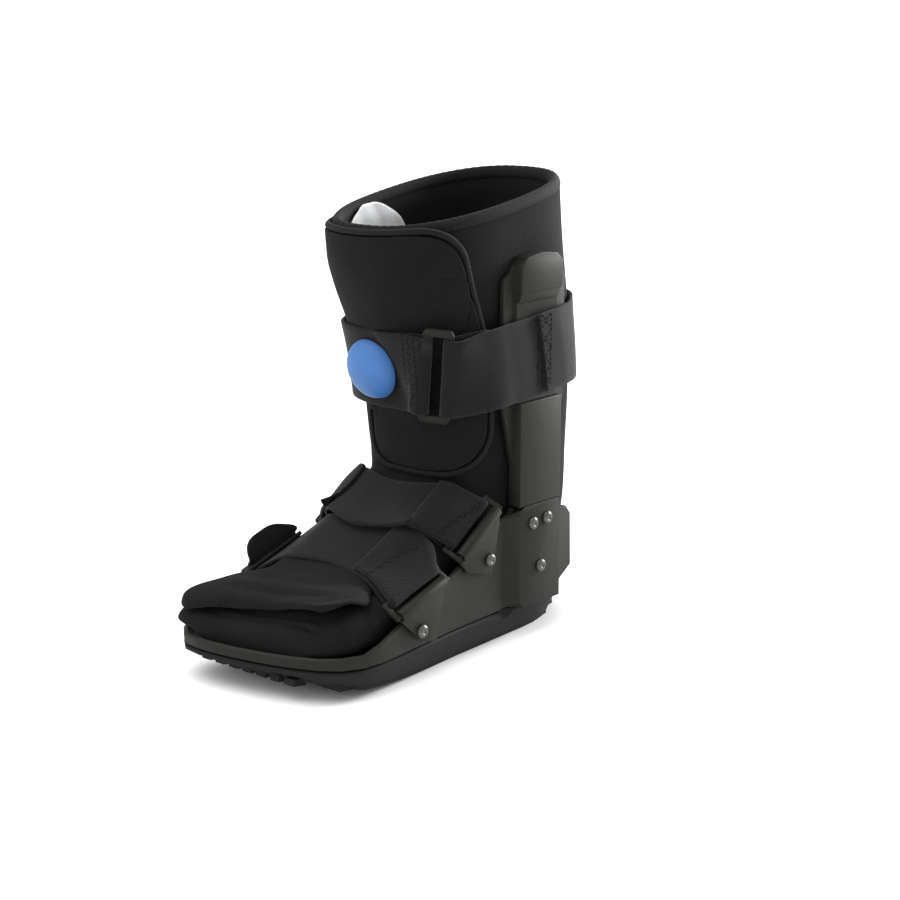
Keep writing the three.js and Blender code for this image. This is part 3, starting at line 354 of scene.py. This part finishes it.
def label_finish(scene):
    colour = scene.boot_shell.label
    f = Finish("woven_label", Specular_IOR_Level=0.3)
    weave = f.ribs(0.7, "Z")
    creases = f.noise(90, 3)
    f.colour(f.mix(weave * 0.3 + creases * 0.7, shade(colour, 0.82), shade(colour, 1.05)))
    f.roughness(0.55 + creases * 0.2)
    f.relief(weave * 0.4 + creases, 0.3 * MM, 0.5)
    return f


def metal_finish(scene):
    colour = scene.boot_shell.metal
    f = Finish("rivet_metal", Metallic=0.9)
    scuffs = f.noise(700, 4)
    f.colour(f.mix(scuffs, shade(colour, 0.7), shade(colour, 1.15)))
    f.roughness(0.28 + scuffs * 0.2)
    f.relief(scuffs, 0.05 * MM, 0.4)
    return f


MAKERS = {
    "padding": padding_finish,
    "trim": trim_finish,
    "webbing": webbing_finish,
    "thread": thread_finish,
    "plastic": plastic_finish,
    "rubber": rubber_finish,
    "bulb": bulb_finish,
    "label": label_finish,
    "metal": metal_finish,
}


# Meshes
def mesh_of(node):
    """Mesh of a CAD node with its doubled points merged"""
    mesh = bmesh.new()
    mesh.from_mesh(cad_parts[node].data)
    bmesh.ops.remove_doubles(mesh, verts=mesh.verts, dist=WELD * MM)
    return mesh


def object_from(name, mesh, smooth_angle=None):
    """New object from a bmesh, smooth shaded except at edges sharper than an angle"""
    data = bpy.data.meshes.new(name)
    mesh.normal_update()
    mesh.to_mesh(data)
    mesh.free()
    made = bpy.data.objects.new(name, data)
    bpy.context.scene.collection.objects.link(made)
    smooth(made, smooth_angle)
    return made


def smooth(thing, angle=None):
    """Shades an object smooth, except at edges sharper than an angle in degrees"""
    thing.data.polygons.foreach_set("use_smooth", [True] * len(thing.data.polygons))
    if angle:
        thing.data.set_sharp_from_angle(angle=math.radians(angle))
    thing.data.update()


def settle(thing):
    """Applies an object's modifiers"""
    bpy.context.view_layer.update()
    graph = bpy.context.evaluated_depsgraph_get()
    data = bpy.data.meshes.new_from_object(thing.evaluated_get(graph))
    thing.modifiers.clear()
    thing.data = data


def add_to_boot(thing, slot, material=None, nodes=()):
    """Gives a piece the finish of its slot, puts it under the root body and hides the nodes that it
    stands for
    """
    thing.data.materials.clear()
    thing.data.materials.append(finish(material or slot))
    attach(thing, "root")
    if nodes:
        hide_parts(*nodes)


def moulded(name, node, slot, edge=None):
    """Moulded piece: the CAD node with rounded edges"""
    mesh = mesh_of(node)
    bmesh.ops.dissolve_limit(
        mesh, angle_limit=math.radians(FLAT_ANGLE), verts=mesh.verts, edges=mesh.edges
    )
    thing = object_from(name, mesh)
    bevel = thing.modifiers.new("edges", "BEVEL")
    bevel.width = edge if edge is not None else bpy.context.scene.boot_shell.edge
    bevel.segments = 2
    bevel.limit_method = "ANGLE"
    bevel.angle_limit = math.radians(MOULDED_ANGLE)
    bevel.use_clamp_overlap = True
    settle(thing)
    smooth(thing, MOULDED_ANGLE)
    add_to_boot(thing, slot, nodes=[node])


def subdivide(thing, levels):
    """Rounds an object's surface"""
    rounds = thing.modifiers.new("rounds", "SUBSURF")
    rounds.levels = levels
    settle(thing)
    smooth(thing)


def sewn(name, node, levels, crease):
    """Soft piece: the CAD node's form with a smooth surface, its edges held by a crease"""
    mesh = mesh_of(node)
    bmesh.ops.join_triangles(
        mesh, faces=mesh.faces, angle_face_threshold=math.radians(QUAD_FACE_ANGLE),
        angle_shape_threshold=math.radians(QUAD_SHAPE_ANGLE),
    )
    layer = mesh.edges.layers.float.new("crease_edge")
    for edge in mesh.edges:
        if len(edge.link_faces) == 2 and edge.calc_face_angle(0) > math.radians(SEWN_ANGLE):
            edge[layer] = crease
    thing = object_from(name, mesh)
    subdivide(thing, levels)
    return thing


def points_of(thing):
    """Points of an object in millimetres"""
    points = np.empty(len(thing.data.vertices) * 3)
    thing.data.vertices.foreach_get("co", points)
    return points.reshape(-1, 3) / MM


def normals_of(thing):
    normals = np.empty(len(thing.data.vertices) * 3)
    thing.data.vertices.foreach_get("normal", normals)
    return normals.reshape(-1, 3)


def put_points(thing, points):
    thing.data.vertices.foreach_set("co", (points * MM).ravel())
    thing.data.update()


def distance_to(points, path):
    """Distance of each point from a path, and how far along the path its foot lies"""
    path = np.asarray(path, float)
    best = np.full(len(points), np.inf)
    along = np.zeros(len(points))
    done = 0.0
    total = np.linalg.norm(np.diff(path, axis=0), axis=1).sum()
    for a, b in zip(path[:-1], path[1:]):
        d = b - a
        length = np.linalg.norm(d)
        t = np.clip(((points - a) @ d) / (length * length), 0, 1)
        gap = np.linalg.norm(points - (a + t[:, None] * d), axis=1)
        closer = gap < best
        best[closer] = gap[closer]
        along[closer] = (done + t[closer] * length) / total
        done += length
    return best, along


def groove(thing, path, width, depth, end_depth=None, fade=True):
    """Presses a soft groove along a path, or raises a ridge where the depth is negative"""
    points = points_of(thing)
    gap, along = distance_to(points, path)
    deep = depth if end_depth is None else depth + (end_depth - depth) * along
    ends = np.clip(np.minimum(along, 1 - along) * GROOVE_FADE, GROOVE_END, 1) if fade else 1
    drop = deep * ends * np.exp(-((gap / width) ** 2))
    put_points(thing, points - normals_of(thing) * drop[:, None])


def ripple(thing, height):
    """Moves a surface along its normals by a height worked out from its points"""
    points = points_of(thing)
    put_points(thing, points + normals_of(thing) * height(points)[:, None])


def wave(points, turns, phase=0):
    """Sine wave through space, its turns in radians per millimetre along each axis"""
    return np.sin(points @ np.array(turns) + phase)


def fill_padding(thing, pressure):
    """Swells a padded piece with a short cloth simulation and keeps it near its own shape"""
    scene = bpy.context.scene
    reach = scene.boot_padding.swell / MM
    start = points_of(thing)
    cloth = thing.modifiers.new("filling", "CLOTH")
    cloth.settings.use_pressure = True
    cloth.settings.uniform_pressure_force = pressure
    cloth.settings.effector_weights.gravity = 0
    cloth.settings.quality = FILL_QUALITY
    for number in range(1, FILL_FRAMES + 1):
        scene.frame_set(number)
    settle(thing)
    scene.frame_set(1)
    move = points_of(thing) - start
    size = np.linalg.norm(move, axis=1)
    put_points(thing, start + move * np.minimum(1, reach / np.maximum(size, TINY))[:, None])
    subdivide(thing, 1)


def ease(value, start, end):
    """Smooth step from 0 at start to 1 at end"""
    t = np.clip((value - start) / (end - start), 0, 1)
    return t * t * (3 - 2 * t)


def near(points, centre, reach):
    """Share of a local move: 1 at a centre in plan, fading over a reach"""
    away = (points[:, 0] - centre[0]) ** 2 + (points[:, 1] - centre[1]) ** 2
    return np.exp(-away / (2 * reach * reach))


def push(thing, share, way):
    """Moves an object's points by a way times a share worked out from them"""
    points = points_of(thing)
    put_points(thing, points + share(points)[:, None] * np.array(way))


def far_toe(points):
    """Share of the bulge over the tray's lip at the far corner of the toes"""
    return near(points, (-48, -120), 20) * ease(points[:, 2], 30, 38)


def flap_corner(points):
    """Share of the flap's far top corner that lies in to the collar"""
    return ease(-points[:, 0], 26, 52) * ease(points[:, 2], 244, 266)


def liner_top(points):
    """Share of the liner's top that is raised into the collar's binding"""
    return ease(points[:, 2] - COLLAR_RISE * (points[:, 1] - LEG_MIDDLE), 275, 278)


def ring_edge(side):
    """Share of the forefoot strap's rear edge that lies further back at a side's ring"""
    return lambda points: near(points, (49 * side, -25), 9) * ease(points[:, 1], -46, -26)


def tree_of(*things):
    """Search tree over the shown surfaces of some objects"""
    points = []
    faces = []
    for thing in things:
        start = len(points)
        points += [v.co.copy() for v in thing.data.vertices]
        faces += [[start + i for i in p.vertices] for p in thing.data.polygons]
    return BVHTree.FromPolygons(points, faces)


def spaced(path, pitch):
    """Points a pitch apart along a path"""
    path = [Vector(p) * MM for p in path]
    found = []
    carry = 0.0
    for a, b in zip(path[:-1], path[1:]):
        length = (b - a).length
        at = carry
        while at < length:
            found.append((a.lerp(b, at / length), (b - a).normalized()))
            at += pitch
        carry = at - length
    return found


def turns_of(count):
    """Even turns round a circle"""
    return [2 * math.pi * i / count for i in range(count)]


def tube(mesh, rings):
    """Closed tube through rings of points"""
    for low, high in zip(rings[:-1], rings[1:]):
        for i in range(len(low)):
            j = (i + 1) % len(low)
            mesh.faces.new((low[i], low[j], high[j], high[i]))
    mesh.faces.new(rings[0][::-1])
    mesh.faces.new(rings[-1])


def thread(mesh, a, b, radius):
    """One stitch: a short thread with rounded ends between two points"""
    axis = (b - a).normalized()
    side = axis.orthogonal().normalized()
    other = axis.cross(side)
    rings = []
    for share, size in THREAD_PROFILE:
        centre = a.lerp(b, share)
        rings.append([
            mesh.verts.new(
                centre + (side * math.cos(turn) + other * math.sin(turn)) * radius * size
            )
            for turn in turns_of(THREAD_SIDES)
        ])
    tube(mesh, rings)


def stitches(name, surface, outward, paths, zigzag=0):
    """Rows of stitches laid on the outside of a surface along rough paths"""
    outward = Vector(outward).normalized()
    s = bpy.context.scene.boot_webbing
    mesh = bmesh.new()
    for path in paths:
        for number, (point, run) in enumerate(spaced(path, STITCH_PITCH * MM)):
            spot, normal, _, _ = surface.ray_cast(point + outward * STAND_OFF * MM, -outward)
            if spot is None:
                continue
            across = normal.cross(run).normalized()
            run = across.cross(normal).normalized()
            half = s.stitch * 0.5
            start = spot - run * half
            end = spot + run * half
            if zigzag:
                side = 1 if number % 2 else -1
                start -= across * zigzag * MM * side
                end += across * zigzag * MM * side
            lift = normal * s.thread_radius * STITCH_LIFT
            thread(mesh, start + lift, end + lift, s.thread_radius)
    add_to_boot(object_from(name, mesh), "webbing", "thread")


# Pieces
class BootOperator:
    """What every piece's operator shares"""
    bl_options = {"REGISTER"}

    def execute(self, context):
        self.build(context.scene)
        return {"FINISHED"}


class BOOT_OT_sole(BootOperator, bpy.types.Operator):
    """Rubber sole with its tread"""
    bl_idname = "boot.sole"
    bl_label = "Sole"

    def build(self, scene):
        moulded("outsole_rubber", "outsole", "rubber")


class BOOT_OT_shell(BootOperator, bpy.types.Operator):
    """Tray with its ears, and the struts"""
    bl_idname = "boot.shell"
    bl_label = "Tray and struts"

    def build(self, scene):
        moulded("tray_moulding", "base_shell", "plastic")
        for side in ("left", "right"):
            moulded(f"strut_moulding_{side}", f"strut_{side}", "plastic", 1.0 * MM)


class BOOT_OT_liner(BootOperator, bpy.types.Operator):
    """Padded liner with its seams, ankle creases and toe panel"""
    bl_idname = "boot.liner"
    bl_label = "Liner"

    def build(self, scene):
        liner = sewn("liner_padding", "liner", 2, 0.5)
        push(liner, liner_top, (0, 0, 4))
        push(liner, far_toe, FAR_TOE_MOVE)
        mouth = [
            (-58, -117, 43), (-30, -122, 44), (0, -120, 47), (25, -115, 50), (45, -106, 54),
            (56, -92, 55),
        ]
        groove(liner, mouth, width=6, depth=4.2, end_depth=1.8, fade=False)
        fold = [(-5, -121, 49), (14, -118, 50), (28, -115, 48), (40, -111, 43), (47, -105, 38)]
        groove(liner, fold, width=4.5, depth=3.8)
        groove(liner, [(-40, -121, 33), (-10, -123, 36), (16, -119, 39)], width=6, depth=-1.2)
        for side in (1, -1):
            seam = [(52.9 * side, 47, 154), (53.1 * side, 56.5, 133), (51.5 * side, 46, 108)]
            groove(liner, seam, width=1.6, depth=0.9)
            upper_crease = [(44 * side, 17, 126), (50 * side, 34, 113), (51 * side, 52, 104)]
            groove(liner, upper_crease, width=5, depth=1.8)
            groove(liner, [(47 * side, 20, 112), (51 * side, 38, 100)], width=4, depth=1.5)
        heel_seam = [(0, 142, 40), (0, 144, 130), (0, 143, 200), (0, 141, 285)]
        groove(liner, heel_seam, width=1.4, depth=0.8)

        def height(p):
            inside = (np.abs(p[:, 0]) < 44) & (p[:, 2] > 60)
            soft = wave(p, (0, 0.03, 0.09)) * wave(p, (0, 0.07, 0), 1.3)
            return 0.28 * soft * np.where(inside, 0.3, 1)

        ripple(liner, height)
        smooth(liner)
        add_to_boot(liner, "padding", nodes=["liner"])
        surface = tree_of(liner)
        seam = [(53, 47, 154), (53, 54, 143), (53, 56.5, 133), (53, 53, 119), (53, 46, 108)]
        stitches("ankle_stitching", surface, (1, 0, 0), [seam])


class BOOT_OT_collar(BootOperator, bpy.types.Operator):
    """Rolled binding of the rim, and the blank label inside"""
    bl_idname = "boot.collar"
    bl_label = "Collar"

    def build(self, scene):
        rim = sewn("collar_tape", "collar_binding", 3, 0.0)
        ripple(rim, lambda p: 0.12 * np.sin(np.arctan2(p[:, 0], p[:, 1] - LEG_MIDDLE) * RIM_RIBS))
        add_to_boot(rim, "trim", nodes=["collar_binding"])
        label = sewn("label_cloth", "inner_label", 2, 0.9)
        points = points_of(label)
        wall = np.polyfit(points[:, 1], points[:, 0], 2)
        front, new_front, stretch = 47, 41, 1.22
        along = new_front + (points[:, 1] - front) * stretch
        points[:, 0] += np.polyval(wall, along) - np.polyval(wall, points[:, 1])
        points[:, 0] += 1.6 * ease(points[:, 2], 255, 268)
        points[:, 1] = along
        points[:, 2] += 5.5 * ease(points[:, 2], 226, 262)
        put_points(label, points)
        ripple(label, lambda p: 0.25 * wave(p, (0, 0.35, 0.2)))
        add_to_boot(label, "label", nodes=["inner_label"])


class BOOT_OT_shin_flap(BootOperator, bpy.types.Operator):
    """Padded shin flap with its binding and stitched patch"""
    bl_idname = "boot.shin_flap"
    bl_label = "Shin flap"

    def build(self, scene):
        flap = sewn("shin_flap_padding", "shin_flap", 2, 0.6)
        fill_padding(flap, 2.0)
        push(flap, flap_corner, FLAP_CORNER_MOVE)

        def height(p):
            broad = wave(p, (0, 0, 0.045), 0.6) * wave(p, (0.06, 0, 0), 0.4)
            fine = 0.25 * wave(p, (0.09, 0, 0.16))
            return 0.5 * (broad + fine)

        ripple(flap, height)
        patch = [
            (47, -5, 244), (51.4, 4, 242.8), (54, 13.5, 242), (53.5, 14, 229.5), (51.6, 13.5, 213),
        ]
        groove(flap, patch, width=1.5, depth=1.3, fade=False)
        smooth(flap)
        add_to_boot(flap, "padding", nodes=["shin_flap"])
        edge = sewn("flap_tape", "flap_binding", 2, 0.2)
        push(edge, flap_corner, FLAP_CORNER_MOVE)
        add_to_boot(edge, "trim", nodes=["flap_binding"])
        surface = tree_of(flap)
        stitches("patch_stitching", surface, (0.9, -0.43, 0), [patch])


class BOOT_OT_toe_flap(BootOperator, bpy.types.Operator):
    """Full padded flap over the toes"""
    bl_idname = "boot.toe_flap"
    bl_label = "Toe flap"

    def build(self, scene):
        flap = sewn("toe_flap_padding", "toe_flap", 2, 0.35)
        fill_padding(flap, 4.0)
        across = (-56, -44, -30, -12, 8, 24, 40, 52, 57)
        rises = (1, 4, 5, 5.2, 5.8, 8, 11, 9.5, 6)
        hems = (46, 41, 42.5, 44.5, 46, 46.5, 46, 49, 53)

        def hem_lift(p):
            rise = np.interp(p[:, 0], across, rises)
            hem = np.interp(p[:, 0], across, hems)
            return rise * (1 - ease(p[:, 2], hem + 1, hem + 17)) * ease(-p[:, 1], 76, 100)

        push(flap, hem_lift, (0, 0, 1))
        push(flap, far_toe, FAR_TOE_MOVE)
        lip_fold = [(-48, -112, 50), (-20, -112, 57), (10, -108, 62), (40, -98, 64)]
        groove(flap, lip_fold, width=5, depth=1.4)
        puff = [(-48, -104, 52), (-20, -103, 60), (12, -99, 65), (42, -88, 66)]
        groove(flap, puff, width=6, depth=-1.2)
        groove(flap, [(-30, -92, 60), (0, -90, 66), (30, -82, 68)], width=5, depth=0.9)
        ripple(flap, lambda p: 0.4 * wave(p, (0.11, 0.05, 0)) * wave(p, (0, 0.13, 0)))
        smooth(flap)
        add_to_boot(flap, "padding", nodes=["toe_flap"])


class BOOT_OT_hardware(BootOperator, bpy.types.Operator):
    """Strap tabs, rings and the calf buckle"""
    bl_idname = "boot.hardware"
    bl_label = "Tabs, rings and buckle"

    def build(self, scene):
        for place in ("front", "rear"):
            for side in ("left", "right"):
                moulded(f"tab_{place}_{side}", f"strap_tab_{place}_{side}", "plastic", 0.35 * MM)
                moulded(f"ring_bar_{place}_{side}", f"ring_{place}_{side}", "plastic", 0.6 * MM)
        moulded("buckle_frame", "calf_buckle", "plastic", 0.8 * MM)


class BOOT_OT_foot_straps(BootOperator, bpy.types.Operator):
    """Forefoot and instep webbing with their sewn ends"""
    bl_idname = "boot.foot_straps"
    bl_label = "Foot straps"

    def build(self, scene):
        seams = {
            "forefoot_strap": [
                (34, -66, 66), (37.4, -49.2, 71.1), (40.7, -37.1, 76), (45.9, -28, 78.2),
            ],
            "instep_strap": [(50.3, -12, 85), (51.7, -2, 89.7), (54, 9, 93.7), (56, 20.4, 97.5)],
        }
        for node, seam in seams.items():
            piece = node.replace("strap", "webbing")
            strap = sewn(piece, node, 2, 0.95)
            if node == "forefoot_strap":
                for side in (1, -1):
                    push(strap, ring_edge(side), (2 * side, 9, 2.5))
            ripple(strap, lambda p: 0.18 * wave(p, (0.17, 0.11, 0)))
            smooth(strap)
            add_to_boot(strap, "webbing", nodes=[node])
            surface = tree_of(strap)
            stitches(f"{piece}_stitching", surface, (0.5, -0.2, 0.84), [seam], zigzag=1.5)


class BOOT_OT_calf_straps(BootOperator, bpy.types.Operator):
    """Calf webbing in its two lengths, with boxed and crossed stitches"""
    bl_idname = "boot.calf_straps"
    bl_label = "Calf straps"

    def build(self, scene):
        front = sewn("calf_webbing_front", "calf_strap_front", 2, 0.95)
        wrap = sewn("calf_webbing_wrap", "calf_strap_wrap", 2, 0.95)

        # The wrap's sewn end reaches further forward, less and less towards its start
        start, fade, reach = 112, 26, 9
        points = points_of(wrap)
        sewn_end = (points[:, 0] > 40) & (points[:, 1] < start)
        share = np.clip((start - points[:, 1]) / fade, 0, 1)
        points[:, 1] -= np.where(sewn_end, reach * share, 0)
        put_points(wrap, points)
        for strap, node in ((front, "calf_strap_front"), (wrap, "calf_strap_wrap")):
            ripple(strap, lambda p: 0.15 * wave(p, (0, 0.13, 0.07)))
            smooth(strap)
            add_to_boot(strap, "webbing", nodes=[node])
        surface = tree_of(front, wrap)
        out, low, high, first, last = 65, 169, 216, 70, 81
        corners = ((first, low), (first, high), (last, high), (last, low), (first, low))
        lines = [[(out, y, z) for y, z in corners]]
        rows = np.linspace(low, high, 5)
        for foot, head in zip(rows[:-1], rows[1:]):
            lines.append([(out, first, foot), (out, last, head)])
            lines.append([(out, last, foot), (out, first, head)])
        stitches("calf_box_stitching", surface, (1, 0, 0), lines)
        seams = [[(22.3, -15.1, 208), (23.2, -14.8, 161)], [(30.4, -12.1, 208), (31.4, -11.8, 160)]]
        middle = [(26.3, -13.6, 206), (27.3, -13.3, 162)]
        forward = (0.35, -0.94, 0)
        stitches("calf_seam_stitching", surface, forward, seams)
        stitches("calf_zigzag_stitching", surface, forward, [middle], zigzag=1.8)


class BOOT_OT_bulb(BootOperator, bpy.types.Operator):
    """Pump bulb"""
    bl_idname = "boot.bulb"
    bl_label = "Pump bulb"

    def build(self, scene):
        bulb = sewn("bulb_dome", "pump_bulb", 3, 0.6)
        add_to_boot(bulb, "bulb", nodes=["pump_bulb"])


class BOOT_OT_rivets(BootOperator, bpy.types.Operator):
    """Domed rivet heads with a dimple"""
    bl_idname = "boot.rivets"
    bl_label = "Rivets"

    def build(self, scene):
        for node in sorted(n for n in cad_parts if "rivet" in n):
            low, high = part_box(node)
            middle = (low + high) / 2
            radius = (high.z - low.z) / 2
            tall = high.x - low.x
            side = 1 if middle.x > 0 else -1
            base = low.x if side > 0 else high.x
            mesh = bmesh.new()
            rings = []
            for share, rise in RIVET_PROFILE:
                rings.append([
                    mesh.verts.new((
                        base + side * rise * tall,
                        middle.y + share * radius * math.cos(turn),
                        middle.z + share * radius * math.sin(turn),
                    ))
                    for turn in turns_of(RIVET_SIDES)
                ])
            tube(mesh, rings)
            bmesh.ops.recalc_face_normals(mesh, faces=mesh.faces)
            head = object_from(f"{node}_head", mesh, RIVET_ANGLE)
            add_to_boot(head, "metal", nodes=[node])


class BOOT_OT_stage(BootOperator, bpy.types.Operator):
    """Pale floor, soft lights and the photograph's camera"""
    bl_idname = "boot.stage"
    bl_label = "Stage"

    def build(self, scene):
        mesh = bmesh.new()
        bmesh.ops.create_grid(mesh, x_segments=2, y_segments=2, size=FLOOR_REACH)
        floor = object_from("floor", mesh)
        paper = Finish("pale_paper", Specular_IOR_Level=0.1)
        tone = paper.noise(3)
        paper.colour(paper.mix(tone, (0.86, 0.86, 0.86), (0.9, 0.9, 0.9)))
        paper.roughness(0.9)
        floor.data.materials.append(paper.material)

        world = bpy.data.worlds.new("studio")
        scene.world = world
        world.use_nodes = True
        sky = world.node_tree.nodes["Background"]
        sky.inputs["Color"].default_value = (1, 1, 1, 1)
        sky.inputs["Strength"].default_value = SKY_STRENGTH
        for name, way, width, power in SUNS:
            lamp = bpy.data.lights.new(name, "SUN")
            lamp.angle = math.radians(width)
            lamp.energy = power
            holder = bpy.data.objects.new(name, lamp)
            holder.rotation_euler = Vector(way).to_track_quat("Z", "Y").to_euler()
            scene.collection.objects.link(holder)

        turn = math.radians(CAMERA_TURN)
        pitch = math.radians(CAMERA_PITCH)
        back = Vector((
            math.sin(turn) * math.cos(pitch), -math.cos(turn) * math.cos(pitch), math.sin(pitch),
        ))
        lens = bpy.data.cameras.new("camera")
        lens.lens = CAMERA_LENS
        lens.sensor_width = SENSOR
        lens.clip_end = 3 * FLOOR_REACH
        camera = bpy.data.objects.new("camera", lens)
        camera.location = (Vector(CAMERA_TARGET) + back * CAMERA_DISTANCE) * MM
        camera.rotation_euler = back.to_track_quat("Z", "Y").to_euler()
        scene.collection.objects.link(camera)
        scene.camera = camera
        scene.view_settings.view_transform = "Standard"


OPERATORS = (
    BOOT_OT_sole,
    BOOT_OT_shell,
    BOOT_OT_liner,
    BOOT_OT_collar,
    BOOT_OT_shin_flap,
    BOOT_OT_toe_flap,
    BOOT_OT_hardware,
    BOOT_OT_foot_straps,
    BOOT_OT_calf_straps,
    BOOT_OT_bulb,
    BOOT_OT_rivets,
    BOOT_OT_stage,
)


class BOOT_PT_panel(bpy.types.Panel):
    """Lists the boot's pieces and settings"""
    bl_idname = "BOOT_PT_panel"
    bl_label = "Walking boot"
    bl_space_type = "VIEW_3D"
    bl_region_type = "UI"
    bl_category = "Walking boot"

    def draw(self, context):
        for operator in OPERATORS:
            self.layout.operator(operator.bl_idname)
        for group in SETTINGS:
            settings = getattr(context.scene, group)
            for name in settings.__annotations__:
                self.layout.prop(settings, name)


SETTINGS = {
    "boot_padding": PaddingSettings,
    "boot_webbing": WebbingSettings,
    "boot_shell": ShellSettings,
}


def register():
    for group in (*SETTINGS.values(), *OPERATORS, BOOT_PT_panel):
        bpy.utils.register_class(group)
    for name, group in SETTINGS.items():
        setattr(bpy.types.Scene, name, PointerProperty(type=group))


def unregister():
    for name in SETTINGS:
        delattr(bpy.types.Scene, name)
    for group in (BOOT_PT_panel, *reversed(OPERATORS), *SETTINGS.values()):
        bpy.utils.unregister_class(group)


def main():
    register()
    for operator in OPERATORS:
        group, name = operator.bl_idname.split(".")
        getattr(getattr(bpy.ops, group), name)()


if __name__ == "__main__":
    main()
